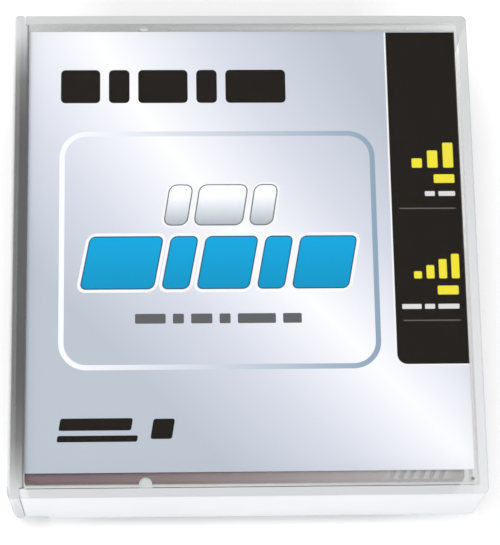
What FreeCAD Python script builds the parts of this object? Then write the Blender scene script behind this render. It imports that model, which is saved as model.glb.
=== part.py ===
"""Half-inch data tape cartridge in its hinged library case, with the folded insert card.

Millimetres. +X right, +Y towards the insertion end, +Z up, origin at the bottom centre of the case.
One function per piece; each piece is written to parts/NODE.step.
"""
import FreeCAD, Part
import math
import os

V = FreeCAD.Vector
X_AXIS, Y_AXIS, Z_AXIS = V(1, 0, 0), V(0, 1, 0), V(0, 0, 1)

# ---- library case: outside and walls
CASE_WIDTH, CASE_DEPTH, CASE_HEIGHT = 111.0, 119.5, 26.0
CASE_WALL = 2.2
CASE_FLOOR = 1.5
CASE_CORNER_R = 1.5
CASE_BOTTOM_R = 1.2
INNER_CORNER_R = 0.6
COVER_PLATE = 1.2
COVER_GAP = 0.25
SPINE_WALL = 1.5
SPINE_RETURN = 2.8
SPINE_BOTTOM = 1.5
SPINE_TOP_R = 0.6
SPINE_FOOT_R = 2.0
SEAM_GAP = 0.1
SEAM_EDGE_R = 0.7
RIM_R, RIM_INNER_R, COVER_EDGE_R = 0.4, 0.2, 0.25
GATE_MARK_R, GATE_MARK_DEPTH, GATE_MARK_INSET = 0.4, 0.3, 1.2

# ---- library case: hinge, supports and keepers
HINGE_INSET = 4.6
HINGE_HEIGHT = 5.2
HINGE_PIN_R = 0.9
HINGE_PLAY = 0.05
HINGE_PIN_LENGTH = 1.3
HINGE_HOLE_SPARE = 0.15
EAR_THICKNESS = 0.85
EAR_R = 1.9
FLOOR_START_GAP = 0.2
PAD_HEIGHT = 0.8
PAD_WIDTH, PAD_CORNER_R = 4.0, 1.8
PAD_SIDE_INSET, PAD_FRONT_INSET, PAD_BACK_INSET = 13.0, 11.2, 14.2
CROSS_PAD_LENGTH, CROSS_PAD_FRONT_INSET, CROSS_PAD_BACK_INSET = 30.0, 5.2, 8.2
RIB_THICKNESS = 1.4
REAR_RIB_HEIGHT, REAR_RIB_INSET = 16.0, 19.0
SIDE_RIB_HEIGHT, SIDE_RIB_FRONT_INSET, SIDE_RIB_BACK_INSET = 18.0, 18.2, 21.2
POST_WIDTH = 2.2
POST_TOP_GAP = 0.05
KEEPER_FROM_SPINE = 31.75
KEEPER_WIDTH = 3.0
KEEPER_LENGTH = 2.5
KEEPER_HEIGHT = 0.8

# ---- insert card
CARD_THICKNESS = 0.3
CARD_RIGHT_GAP = 0.55
CARD_FRONT_MARGIN = 6.05
CARD_BACK_MARGIN = 3.75
CARD_SPINE_GAP = 0.15
CARD_TOP_GAP = 0.05
CARD_HINGE_GAP = 1.3
CARD_FOLD_R = 0.45

# ---- cartridge: shell
CART_SPINE_GAP, CART_SIDE_GAP = 2.3, 3.0
CART_FRONT_GAP, CART_BACK_GAP = 1.35, 8.35
CART_TOP_GAP = 0.65
CART_STOP_GAP = 0.3
SHELL_WALL = 2.0
SHELL_CORNER_R = 1.5
SHELL_EDGE_R = 0.8
FRONT_CHAMFER_X, FRONT_CHAMFER_Y = 3.3, 0.9
LIP_HEIGHT, LIP_INSET, LIP_PLAY = 0.8, 1.0, 0.05
LABEL_RECESS = 0.4
LABEL_LEFT_MARGIN, LABEL_RIGHT_MARGIN = 25.7, 4.3
LABEL_MARGIN_Z = 2.6
GRIP_COUNT, GRIP_PITCH, GRIP_WIDTH, GRIP_DEPTH = 6, 2.3, 1.1, 0.5
GRIP_LENGTH, GRIP_SLANT_DEG = 12.0, 25.0
GRIP_FROM_SIDE, GRIP_FRONT_GAP = 3.3, 0.6
NOTCH_DEPTH, NOTCH_LENGTH, NOTCH_HEIGHT, NOTCH_FROM_FRONT = 1.2, 6.0, 14.0, 6.0
ARROW_LENGTH, ARROW_WIDTH, ARROW_DEPTH, ARROW_FROM_END = 9.0, 8.0, 0.3, 6.0

# ---- cartridge: reel, tape and hub
REEL_OFFSET_Y = 1.5
REEL_SEAT_R, REEL_SEAT_HEIGHT, REEL_GAP = 25.5, 0.6, 0.3
REEL_SIDE_GAP, REEL_TOP_GAP = 0.8, 1.25
FLANGE_THICKNESS, FLANGE_RIM, FLANGE_OVER_TAPE = 1.3, 0.7, 2.2
HUB_R, HUB_BORE_R, HUB_FLOOR = 22.0, 18.0, 1.8
TAPE_GAP = 0.05
SPIGOT_WALL, SPIGOT_HEIGHT, SPIGOT_PLAY = 0.9, 1.4, 0.1
WELL_RIB_GAP, WELL_RIB_WALL, WELL_RIB_HEIGHT = 1.1, 1.0, 2.0
DRIVE_TOOTH_COUNT, DRIVE_TOOTH_HEIGHT = 60, 1.2
DRIVE_RING_IN_R, DRIVE_RING_OUT_R, DRIVE_RING_BASE = 17.2, 21.6, 0.3
DRIVE_OPENING_GAP = 0.8
TOOTH_INSET = 0.1
DRIVE_TOOTH_ROOT, DRIVE_TOOTH_TIP = 1.1, 0.4
PLATE_IN_R, PLATE_RING_GAP, PLATE_THICKNESS = 8.0, 0.8, 0.7

# ---- cartridge: reel brake, held clear of the reel's teeth
BRAKE_TOOTH_COUNT, BRAKE_TOOTH_HEIGHT = 36, 1.3
BRAKE_RING_IN_R, BRAKE_RING_OUT_R = 12.5, 15.5
BRAKE_TOOTH_ROOT, BRAKE_TOOTH_TIP = 0.95, 0.5
BRAKE_CLEAR = 0.3
BRAKE_DISC = 1.4
BRAKE_BOSS_R, BRAKE_BOSS_HEIGHT = 5.4, 6.3
BRAKE_KEY_R, BRAKE_KEY_WIDTH, BRAKE_KEY_SPAN, BRAKE_KEY_PLAY = 2.4, 1.2, 8.0, 0.12
BRAKE_KEY_END_GAP = 0.9
SPRING_R, SPRING_WIRE_R, SPRING_TURNS = 8.0, 0.45, 5
SPRING_SEAT_GAP = 0.1
SPRING_RING_WALL, SPRING_RING_HEIGHT = 0.8, 1.6
PAD_R, PAD_THICKNESS, PAD_TOP_GAP = 7.8, 1.2, 0.05
PAD_LEG_R, PAD_LEG_CIRCLE, PAD_LEG_PLAY, PAD_LEG_COUNT = 1.5, 5.4, 0.15, 3
PAD_LEG_END = 2.0

# ---- cartridge: leader pin and its door
PIN_FROM_SIDE, PIN_FROM_END = 7.3, 11.2
PIN_R, PIN_HEAD_R, PIN_HEAD, PIN_END_GAP = 1.1, 2.0, 0.8, 0.3
CLAMP_R, CLAMP_PLAY, CLAMP_SLOT = 1.9, 0.05, 0.5
LEADER_THICKNESS, LEADER_START_GAP = 0.15, 0.3
POCKET_PLAY, POCKET_WALL, POCKET_HEIGHT = 0.3, 1.0, 1.0
RETAINER_R, RETAINER_PLAY, RETAINER_REACH, RETAINER_BACK = 0.35, 0.05, 1.8, 7.0
DOOR_OPENING_LENGTH, DOOR_OPENING_FROM_END = 13.5, 4.2
DOOR_OPENING_MARGIN = 0.7
DOOR_THICKNESS, DOOR_LAP, DOOR_PLAY, DOOR_SIDE_PLAY = 1.2, 1.25, 0.3, 0.2
DOOR_TAB_LENGTH, DOOR_TAB_SET_BACK, DOOR_TAB_REACH = 1.0, 1.4, 1.7
DOOR_RAIL_WIDTH, DOOR_RAIL_HEIGHT, DOOR_RAIL_LENGTH = 0.8, 1.0, 15.0
DOOR_SPRING_R, DOOR_SPRING_WIRE_R, DOOR_SPRING_TURNS, DOOR_SPRING_LENGTH = 1.0, 0.2, 8, 18.2
DOOR_SPRING_GAP = 0.1
DOOR_POST_LENGTH, DOOR_POST_HEIGHT, DOOR_POST_REACH = 1.3, 4.0, 2.8

# ---- cartridge: write-protect slider, memory chip and screws
WINDOW_FROM_SIDE, WINDOW_LENGTH, WINDOW_HEIGHT = 10.2, 11.0, 7.0
SLIDER_LENGTH, SLIDER_HEIGHT, SLIDER_THICKNESS, SLIDER_PLAY = 9.0, 9.0, 1.2, 0.15
SLIDER_LEAD = 1.0
NUB_LENGTH, NUB_HEIGHT, NUB_REACH, NUB_SIDE_GAP = 5.0, 6.4, 1.6, 0.5
SLIDER_RAIL, SLIDER_LIP = 0.8, 0.7
CHIP_LENGTH, CHIP_HEIGHT, CHIP_THICKNESS, CHIP_FROM_CORNER = 6.0, 8.6, 0.8, 3.3
CHIP_LEDGE, CHIP_LEDGE_HEIGHT, CHIP_PLAY = 0.7, 2.2, 0.1
BOSS_R = 3.2
SCREW_R, SCREW_HEAD_R, SCREW_HEAD, SCREW_LENGTH = 1.25, 2.3, 1.4, 14.0
SCREW_HOLE_PLAY, SCREW_PILOT_PLAY, SCREW_HEAD_PLAY, SCREW_SINK = 0.2, 0.05, 0.3, 0.3
SCREW_SOCKET_R, SCREW_SOCKET_DEPTH = 1.1, 0.8
SCREW_INSET = 5.8
SCREW_FRONT_RIGHT_INSET, SCREW_BACK_RIGHT_INSET, SCREW_BACK_INSET = 11.3, 15.8, 4.7

# ---- how far a cutting block runs past the face that it cuts
CUT = 1.0

# ---- places worked out from the sizes above
CASE_X = (-CASE_WIDTH / 2, CASE_WIDTH / 2)
CASE_Y = (-CASE_DEPTH / 2, CASE_DEPTH / 2)
WALL_IN_X = CASE_X[1] - CASE_WALL
WALL_IN_Y = CASE_Y[1] - CASE_WALL
COVER_Y = WALL_IN_Y - COVER_GAP
COVER_RIGHT = WALL_IN_X - COVER_GAP
PLATE_Z = CASE_HEIGHT - COVER_PLATE
RETURN_X = CASE_X[0] + SPINE_RETURN
WALL_START = RETURN_X + SEAM_GAP
PIVOT_X = CASE_X[0] + HINGE_INSET
WALL_END_R = PIVOT_X - WALL_START
FLOOR_START = PIVOT_X + (HINGE_HEIGHT - SPINE_BOTTOM) + FLOOR_START_GAP
PIN_TIP_Y = WALL_IN_Y + HINGE_PIN_LENGTH
KEEPER_X = CASE_X[0] + KEEPER_FROM_SPINE

CARD_BACK = CASE_Y[1] - CARD_BACK_MARGIN
CARD_FRONT = CASE_Y[0] + CARD_FRONT_MARGIN
CARD_RIGHT = COVER_RIGHT - CARD_RIGHT_GAP
CARD_LEFT = CASE_X[0] + SPINE_WALL + CARD_SPINE_GAP
CARD_Z = (HINGE_HEIGHT + CARD_HINGE_GAP, PLATE_Z - CARD_TOP_GAP)
CARD_BELOW = CARD_Z[1] - CARD_THICKNESS

# ---- the case's room less its clearances is the cartridge's size: 102.0 x 105.4 x 21.5
CART_Z = (CASE_FLOOR + PAD_HEIGHT, CARD_BELOW - CART_TOP_GAP)
CART_X = (CASE_X[0] + SPINE_WALL + CART_SPINE_GAP, WALL_IN_X - CART_SIDE_GAP)
CART_Y = (CART_FRONT_GAP - WALL_IN_Y, WALL_IN_Y - CART_BACK_GAP)
CART_MID_Z = (CART_Z[0] + CART_Z[1]) / 2
ROOM_X = (CART_X[0] + SHELL_WALL, CART_X[1] - SHELL_WALL)
ROOM_Y = (CART_Y[0] + SHELL_WALL, CART_Y[1] - SHELL_WALL)
ROOM_Z = (CART_Z[0] + SHELL_WALL, CART_Z[1] - SHELL_WALL)

# ---- the reel fills the cartridge's room, which leaves 12.65 for the half-inch tape
REEL_X = (CART_X[0] + CART_X[1]) / 2
REEL_Y = (CART_Y[0] + CART_Y[1]) / 2 - REEL_OFFSET_Y
REEL_Z = ROOM_Z[0] + REEL_SEAT_HEIGHT + REEL_GAP
UPPER_FLANGE_Z = ROOM_Z[1] - REEL_TOP_GAP - FLANGE_THICKNESS
TAPE_Z = (REEL_Z + FLANGE_THICKNESS + TAPE_GAP, UPPER_FLANGE_Z - TAPE_GAP)
FLANGE_R = min(REEL_X - ROOM_X[0], REEL_Y - ROOM_Y[0]) - REEL_SIDE_GAP
TAPE_R = FLANGE_R - FLANGE_OVER_TAPE
WELL_RIB_R = FLANGE_R + WELL_RIB_GAP
DRIVE_OPENING_R = DRIVE_RING_OUT_R + DRIVE_OPENING_GAP
PLATE_OUT_R = DRIVE_RING_IN_R - PLATE_RING_GAP
HUB_FLOOR_TOP = REEL_Z + HUB_FLOOR

BRAKE_TEETH_Z = HUB_FLOOR_TOP + BRAKE_TOOTH_HEIGHT + BRAKE_CLEAR
BRAKE_DISC_Z = (BRAKE_TEETH_Z + BRAKE_TOOTH_HEIGHT, BRAKE_TEETH_Z + BRAKE_TOOTH_HEIGHT + BRAKE_DISC)
KEY_END_Z = BRAKE_DISC_Z[1] + BRAKE_KEY_END_GAP
PAD_TOP_Z = BRAKE_DISC_Z[0] - PAD_TOP_GAP

LEADER_PIN = (CART_X[1] - PIN_FROM_SIDE, CART_Y[1] - PIN_FROM_END)
DOOR_OPENING_Y = (CART_Y[1] - DOOR_OPENING_FROM_END - DOOR_OPENING_LENGTH, CART_Y[1] - DOOR_OPENING_FROM_END)
DOOR_Y = (DOOR_OPENING_Y[0] - DOOR_LAP, DOOR_OPENING_Y[1] + DOOR_LAP)
DOOR_X = (ROOM_X[1] - DOOR_SIDE_PLAY - DOOR_THICKNESS, ROOM_X[1] - DOOR_SIDE_PLAY)
DOOR_POST_Y = DOOR_Y[0] - DOOR_SPRING_LENGTH

WINDOW_X = CART_X[0] + WINDOW_FROM_SIDE
SLIDER_Y = (ROOM_Y[0] + SLIDER_PLAY, ROOM_Y[0] + SLIDER_PLAY + SLIDER_THICKNESS)
SLIDER_X = (WINDOW_X - SLIDER_LEAD, WINDOW_X - SLIDER_LEAD + SLIDER_LENGTH)
SCREW_PLACES = (
    (CART_X[0] + SCREW_INSET, CART_Y[0] + SCREW_INSET),
    (CART_X[1] - SCREW_FRONT_RIGHT_INSET, CART_Y[0] + SCREW_INSET),
    (CART_X[0] + SCREW_INSET, CART_Y[1] - SCREW_INSET),
    (CART_X[1] - SCREW_BACK_RIGHT_INSET, CART_Y[1] - SCREW_BACK_INSET),
)


# ---- small building blocks
def box(x, y, z):
    """Block between the low and high end given for each axis."""
    return Part.makeBox(x[1] - x[0], y[1] - y[0], z[1] - z[0], V(x[0], y[0], z[0]))


def around(centre, length):
    """Low and high end of a span of the given length about its centre."""
    return (centre - length / 2, centre + length / 2)


def disc(radius, z, x=REEL_X, y=REEL_Y):
    """Upright cylinder from z[0] to z[1], on the reel's axis unless told otherwise."""
    return Part.makeCylinder(radius, z[1] - z[0], V(x, y, z[0]), Z_AXIS)


def ring(inner, outer, z, x=REEL_X, y=REEL_Y):
    """Upright ring from z[0] to z[1]."""
    return disc(outer, z, x, y).cut(disc(inner, z, x, y))


def rod_along_y(radius, x, z, y):
    """Cylinder along Y, such as a hinge pin or its hole."""
    return Part.makeCylinder(radius, y[1] - y[0], V(x, y[0], z), Y_AXIS)


def upright_edges(shape):
    """The edges that run straight up."""
    return [e for e in shape.Edges if abs(e.tangentAt(e.FirstParameter).z) > 0.99]


def edges_at(shape, z):
    """The edges that lie flat at one height."""
    return [e for e in shape.Edges if abs(e.BoundBox.ZMin - z) < 1e-6 and abs(e.BoundBox.ZMax - z) < 1e-6]


def rounded_box(x, y, z, radius):
    """Block whose upright edges are rounded."""
    block = box(x, y, z)
    return block.makeFillet(radius, upright_edges(block))


def seam_edge(x, side, inward):
    """What is cut from an upright outer edge at the seam of spine and wall, to round it in plan."""
    y = side * CASE_Y[1]
    centre_x, centre_y = x + inward * SEAM_EDGE_R, y - side * SEAM_EDGE_R
    z = (0, CASE_HEIGHT)
    block = box(sorted((x, centre_x)), sorted((y, centre_y)), z)
    return block.cut(disc(SEAM_EDGE_R, z, centre_x, centre_y))


def prism(points, z):
    """Upright prism on a closed outline of (x, y) points."""
    corners = [V(px, py, z[0]) for px, py in points]
    face = Part.Face(Part.makePolygon(corners + corners[:1]))
    return face.extrude(V(0, 0, z[1] - z[0]))


def about_reel(shape, count, index):
    """Copy of a shape turned to its place in a ring about the reel's axis."""
    turned = shape.copy()
    turned.rotate(V(REEL_X, REEL_Y, 0), Z_AXIS, 360.0 * index / count)
    return turned


def tooth(root, tip, radii, z_root, z_tip):
    """Radial tooth on the reel's +X side, with sloping flanks."""
    start = REEL_X + radii[0]
    outline = [
        V(start, REEL_Y - root / 2, z_root),
        V(start, REEL_Y + root / 2, z_root),
        V(start, REEL_Y + tip / 2, z_tip),
        V(start, REEL_Y - tip / 2, z_tip),
    ]
    face = Part.Face(Part.makePolygon(outline + outline[:1]))
    return face.extrude(V(radii[1] - radii[0], 0, 0))


def tooth_ring(count, phase, *tooth_sizes):
    """A ring of equal teeth; phase shifts it by that share of a pitch."""
    first = tooth(*tooth_sizes)
    return [about_reel(first, count, index + phase) for index in range(count)]


def coil(radius, wire_r, turns, length):
    """Helical spring along +Z from the origin, measured over its wire."""
    pitch = (length - 2 * wire_r) / turns
    path = Part.makeHelix(pitch, pitch * turns, radius)
    section = Part.Wire(Part.makeCircle(wire_r, V(radius, 0, 0), Y_AXIS))
    spring = Part.Wire(path).makePipeShell([section], True, True)
    spring.translate(V(0, 0, wire_r))
    return spring


def save(shape, node):
    """Write one piece as one STEP file."""
    if not shape.isValid():
        raise ValueError("not a valid shape: " + node)
    shape.exportStep(os.path.join("parts", node + ".step"))


# ---- library case
def hinge_corner(side):
    """What is cut from the end of a base wall so that the cover's return can swing round it."""
    y = (WALL_IN_Y, CASE_Y[1]) if side > 0 else (CASE_Y[0], -WALL_IN_Y)
    corner = box((WALL_START, PIVOT_X), y, (HINGE_HEIGHT - WALL_END_R, HINGE_HEIGHT))
    return corner.cut(rod_along_y(WALL_END_R, PIVOT_X, HINGE_HEIGHT, y))


def hinge_hole(side):
    """Blind hole for a hinge pin, from the inside of a base wall."""
    depth = HINGE_PIN_LENGTH + HINGE_HOLE_SPARE
    y = (WALL_IN_Y, WALL_IN_Y + depth) if side > 0 else (-WALL_IN_Y - depth, -WALL_IN_Y)
    return rod_along_y(HINGE_PIN_R + HINGE_PLAY, PIVOT_X, HINGE_HEIGHT, y)


def base_supports():
    """Pads under the cartridge, stops behind and beside it, and posts under the cover's free corners."""
    pad_z = (CASE_FLOOR, CASE_FLOOR + PAD_HEIGHT)
    pad_y = (CART_Y[0] + PAD_FRONT_INSET, CART_Y[1] - PAD_BACK_INSET)
    pads = [
        rounded_box(around(x, PAD_WIDTH), pad_y, pad_z, PAD_CORNER_R)
        for x in (CART_X[0] + PAD_SIDE_INSET, CART_X[1] - PAD_SIDE_INSET)
    ]
    cross_pads = [
        rounded_box(around(REEL_X, CROSS_PAD_LENGTH), around(y, PAD_WIDTH), pad_z, PAD_CORNER_R)
        for y in (CART_Y[0] + CROSS_PAD_FRONT_INSET, CART_Y[1] - CROSS_PAD_BACK_INSET)
    ]
    rear_y = (CART_Y[1] + CART_STOP_GAP, WALL_IN_Y)
    rear = [
        box(around(x, RIB_THICKNESS), rear_y, (CASE_FLOOR, CASE_FLOOR + REAR_RIB_HEIGHT))
        for x in (CART_X[0] + REAR_RIB_INSET, CART_X[1] - REAR_RIB_INSET)
    ]
    side_x = (CART_X[1] + CART_STOP_GAP, WALL_IN_X)
    sides = [
        box(side_x, around(y, RIB_THICKNESS), (CASE_FLOOR, CASE_FLOOR + SIDE_RIB_HEIGHT))
        for y in (CART_Y[0] + SIDE_RIB_FRONT_INSET, CART_Y[1] - SIDE_RIB_BACK_INSET)
    ]
    post_z = (CASE_FLOOR, PLATE_Z - POST_TOP_GAP)
    post_x = (WALL_IN_X - POST_WIDTH, WALL_IN_X)
    posts = [
        box(post_x, (-WALL_IN_Y, -WALL_IN_Y + POST_WIDTH), post_z),
        box(post_x, (CARD_BACK + COVER_GAP, WALL_IN_Y), post_z),
    ]
    return pads + cross_pads + rear + sides + posts


def within_walls(edge):
    """True for an edge on the inside of the tray's walls."""
    bounds = edge.BoundBox
    inside_y = max(abs(bounds.YMin), abs(bounds.YMax)) < WALL_IN_Y + 1e-6
    return inside_y and bounds.XMax < WALL_IN_X + 1e-6


def case_base():
    """Tray with a floor and front, back and right walls; the left side is closed by the cover's spine."""
    outer = rounded_box(CASE_X, CASE_Y, (0, CASE_HEIGHT), CASE_CORNER_R)
    outer = outer.makeFillet(CASE_BOTTOM_R, edges_at(outer, 0))
    outer = outer.makeFillet(RIM_R, edges_at(outer, CASE_HEIGHT))
    room_x = (CASE_X[0] - CASE_WALL, WALL_IN_X)
    room = rounded_box(room_x, (-WALL_IN_Y, WALL_IN_Y), (CASE_FLOOR, CASE_HEIGHT + CUT), INNER_CORNER_R)
    beyond_y = (CASE_Y[0] - CUT, CASE_Y[1] + CUT)
    open_side = box((CASE_X[0] - CUT, WALL_START), beyond_y, (-CUT, CASE_HEIGHT + CUT))
    swing = box((WALL_START - CUT, FLOOR_START), beyond_y, (-CUT, HINGE_HEIGHT - WALL_END_R))
    tray = outer.cut([room, open_side])
    inner_rim = [e for e in edges_at(tray, CASE_HEIGHT) if within_walls(e)]
    tray = tray.makeFillet(RIM_INNER_R, inner_rim).cut(swing)
    tray = tray.cut([hinge_corner(1), hinge_corner(-1), hinge_hole(1), hinge_hole(-1)])
    tray = tray.cut([seam_edge(WALL_START, 1, 1), seam_edge(WALL_START, -1, 1)])
    return tray.fuse(base_supports()).removeSplitter()


def cover_hinge(side):
    """Ear inside a base wall, with the pin that enters the wall."""
    ear_y = (COVER_Y - EAR_THICKNESS, COVER_Y)
    pin_y = (COVER_Y - EAR_THICKNESS, PIN_TIP_Y)
    if side < 0:
        ear_y = (-ear_y[1], -ear_y[0])
        pin_y = (-pin_y[1], -pin_y[0])
    arm = box((CASE_X[0] + SPINE_WALL / 2, PIVOT_X), ear_y, around(HINGE_HEIGHT, 2 * EAR_R))
    eye = rod_along_y(EAR_R, PIVOT_X, HINGE_HEIGHT, ear_y)
    pin = rod_along_y(HINGE_PIN_R, PIVOT_X, HINGE_HEIGHT, pin_y)
    return [arm, eye, pin]


def keeper(side, length):
    """Half-round lug under the plate's edge that keeps the card from sliding out."""
    radius = KEEPER_WIDTH / 2
    centre = COVER_Y - length + radius
    z = (PLATE_Z - KEEPER_HEIGHT, PLATE_Z)
    lug = disc(radius, z, KEEPER_X, centre)
    if centre < COVER_Y:
        lug = lug.fuse(box(around(KEEPER_X, KEEPER_WIDTH), (centre, COVER_Y), z))
    lug = lug.common(box(around(KEEPER_X, 2 * KEEPER_WIDTH), (0, COVER_Y), z))
    return lug if side > 0 else lug.mirror(V(0, 0, 0), Y_AXIS)


def case_cover():
    """Top plate that lies between the base walls, with the spine, its returns and the hinge ears."""
    plan = rounded_box((CASE_X[0], CASE_X[0] + 2 * SPINE_RETURN), CASE_Y, (0, CASE_HEIGHT), CASE_CORNER_R)
    profile = box((CASE_X[0], RETURN_X), CASE_Y, (SPINE_BOTTOM, CASE_HEIGHT))
    left_edges = [e for e in profile.Edges if abs(e.BoundBox.XMax - CASE_X[0]) < 1e-6]
    foot = [e for e in left_edges if abs(e.BoundBox.ZMax - SPINE_BOTTOM) < 1e-6]
    profile = profile.makeFillet(SPINE_FOOT_R, foot)
    top = [e for e in edges_at(profile, CASE_HEIGHT) if abs(e.BoundBox.XMax - CASE_X[0]) < 1e-6]
    profile = profile.makeFillet(SPINE_TOP_R, top)
    spine = profile.common(plan).cut([seam_edge(RETURN_X, 1, -1), seam_edge(RETURN_X, -1, -1)])
    inside_z = (0, PLATE_Z)
    spine = spine.cut(box((CASE_X[0] + SPINE_WALL, RETURN_X + CUT), (-COVER_Y, COVER_Y), inside_z))
    plate_x = (CASE_X[0] + SPINE_WALL, COVER_RIGHT)
    plate = box(plate_x, (-COVER_Y, COVER_Y), (PLATE_Z, CASE_HEIGHT))
    free_corners = [e for e in upright_edges(plate) if e.BoundBox.XMin > 0]
    plate = plate.makeFillet(INNER_CORNER_R, free_corners)
    edge_rounds = [e for e in edges_at(plate, CASE_HEIGHT) if e.BoundBox.XMax > plate_x[0] + CUT]
    plate = plate.makeFillet(COVER_EDGE_R, edge_rounds)
    mark_z = (CASE_HEIGHT - GATE_MARK_DEPTH, CASE_HEIGHT + CUT)
    plate = plate.cut(disc(GATE_MARK_R, mark_z, COVER_RIGHT - GATE_MARK_INSET, GATE_MARK_INSET - COVER_Y))
    back_keeper = COVER_Y - CARD_BACK - CARD_SPINE_GAP
    extras = cover_hinge(1) + cover_hinge(-1) + [keeper(-1, KEEPER_LENGTH), keeper(1, back_keeper)]
    return spine.fuse([plate] + extras).removeSplitter()


def insert_card():
    """Printed card, folded once: a face under the cover's plate and a strip inside its spine."""
    y = (CARD_FRONT, CARD_BACK)
    outside = box((CARD_LEFT, CARD_RIGHT), y, CARD_Z)
    fold = [e for e in edges_at(outside, CARD_Z[1]) if abs(e.BoundBox.XMax - CARD_LEFT) < 1e-6]
    outside = outside.makeFillet(CARD_FOLD_R, fold)
    inside = box((CARD_LEFT + CARD_THICKNESS, CARD_RIGHT + CUT), y, (0, CARD_BELOW))
    inner_fold = [
        e for e in edges_at(inside, CARD_BELOW)
        if abs(e.BoundBox.XMax - CARD_LEFT - CARD_THICKNESS) < 1e-6
    ]
    inside = inside.makeFillet(CARD_FOLD_R - CARD_THICKNESS, inner_fold)
    return outside.cut(inside)


# ---- cartridge shell
def shell_outline(inset, z):
    """Upright prism on the cartridge's outline, moved in by the given amount."""
    left, right = CART_X[0] + inset, CART_X[1] - inset
    front, back = CART_Y[0] + inset, CART_Y[1] - inset
    points = [
        (left + FRONT_CHAMFER_X, front),
        (right - FRONT_CHAMFER_X, front),
        (right, front + FRONT_CHAMFER_Y),
        (right, back),
        (left, back),
        (left, front + FRONT_CHAMFER_Y),
    ]
    block = prism(points, z)
    rear_corners = [e for e in upright_edges(block) if e.BoundBox.YMin > back - 1e-6]
    return block.makeFillet(SHELL_CORNER_R, rear_corners)


def screw_bosses():
    """Pillars that the screws join."""
    return [disc(BOSS_R, ROOM_Z, x, y) for x, y in SCREW_PLACES]


def screw_holes():
    """Head recess, clearance hole and pilot hole of each screw."""
    head_z = (CART_Z[0] - CUT, CART_Z[0] + SCREW_SINK + SCREW_HEAD)
    pilot_top = head_z[1] + SCREW_LENGTH + SCREW_SINK
    holes = []
    for x, y in SCREW_PLACES:
        holes.append(disc(SCREW_HEAD_R + SCREW_HEAD_PLAY, head_z, x, y))
        holes.append(disc(SCREW_R + SCREW_HOLE_PLAY, (head_z[0], CART_MID_Z), x, y))
        holes.append(disc(SCREW_R + SCREW_PILOT_PLAY, (head_z[0], pilot_top), x, y))
    return holes


def well_ribs():
    """Low arcs in the corners that follow the reel, on the floor and under the roof."""
    room = shell_outline(SHELL_WALL / 2, ROOM_Z)
    low = ring(WELL_RIB_R, WELL_RIB_R + WELL_RIB_WALL, (ROOM_Z[0], ROOM_Z[0] + WELL_RIB_HEIGHT))
    high = ring(WELL_RIB_R, WELL_RIB_R + WELL_RIB_WALL, (ROOM_Z[1] - WELL_RIB_HEIGHT, ROOM_Z[1]))
    return [low.common(room), high.common(room)]


def pin_pockets():
    """U-shaped seats for the two ends of the leader pin, open towards the door."""
    x, y = LEADER_PIN
    inner = PIN_HEAD_R + POCKET_PLAY
    outer = inner + POCKET_WALL
    seats = []
    for z in ((ROOM_Z[0], ROOM_Z[0] + POCKET_HEIGHT), (ROOM_Z[1] - POCKET_HEIGHT, ROOM_Z[1])):
        seat = ring(inner, outer, z, x, y)
        seats.append(seat.cut(box((x, x + 2 * outer), around(y, 3 * outer), z)))
    return seats


def door_guides():
    """Rails that hold the door against the side wall, and the post behind its spring."""
    rail_x = (DOOR_X[0] - DOOR_SIDE_PLAY - DOOR_RAIL_WIDTH, DOOR_X[0] - DOOR_SIDE_PLAY)
    rail_y = (DOOR_OPENING_Y[0] - DOOR_RAIL_LENGTH, DOOR_OPENING_Y[0] - DOOR_LAP)
    post_y = (DOOR_POST_Y - DOOR_POST_LENGTH, DOOR_POST_Y)
    return [
        box(rail_x, rail_y, (ROOM_Z[0], ROOM_Z[0] + DOOR_RAIL_HEIGHT)),
        box(rail_x, rail_y, (ROOM_Z[1] - DOOR_RAIL_HEIGHT, ROOM_Z[1])),
        box((ROOM_X[1] - DOOR_POST_REACH, ROOM_X[1]), post_y, around(CART_MID_Z, DOOR_POST_HEIGHT)),
    ]


def slider_rails():
    """Two L-shaped rails that carry the write-protect slider behind its window."""
    x = (SLIDER_X[0], WINDOW_X + WINDOW_LENGTH + SLIDER_LEAD)
    slot_end = SLIDER_Y[1] + SLIDER_PLAY
    rails = []
    for side in (-1, 1):
        near = CART_MID_Z + side * (SLIDER_HEIGHT / 2 + SLIDER_PLAY)
        far = near + side * SLIDER_RAIL
        lip = near - side * SLIDER_LIP
        rails.append(box(x, (ROOM_Y[0], slot_end + SLIDER_LIP), (min(near, far), max(near, far))))
        rails.append(box(x, (slot_end, slot_end + SLIDER_LIP), (min(lip, far), max(lip, far))))
    return rails


def chip_frame(thickness, length, z, offset):
    """Slab across the front right corner at 45 degrees, moved out from the chip's middle plane."""
    slab = box(around(0, length), around(offset, thickness), z)
    slab.rotate(V(0, 0, 0), Z_AXIS, 45)
    slab.translate(V(ROOM_X[1] - CHIP_FROM_CORNER, ROOM_Y[0] + CHIP_FROM_CORNER, 0))
    return slab


def chip_ledges():
    """Low ledges on the floor at both faces of the memory chip."""
    offset = CHIP_THICKNESS / 2 + CHIP_PLAY + CHIP_LEDGE / 2
    z = (ROOM_Z[0], ROOM_Z[0] + CHIP_LEDGE_HEIGHT)
    return [chip_frame(CHIP_LEDGE, CHIP_LENGTH, z, side * offset) for side in (-1, 1)]


def brake_key():
    """Keyed post under the roof that stops the brake from turning, and the ring round its spring."""
    z = (KEY_END_Z, ROOM_Z[1])
    post = disc(BRAKE_KEY_R, z)
    wings = box(around(REEL_X, BRAKE_KEY_SPAN), around(REEL_Y, BRAKE_KEY_WIDTH), z)
    inner = SPRING_R + SPRING_WIRE_R + SPRING_RING_WALL / 2
    guard = ring(inner, inner + SPRING_RING_WALL, (ROOM_Z[1] - SPRING_RING_HEIGHT, ROOM_Z[1]))
    return [post, wings, guard]


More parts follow.
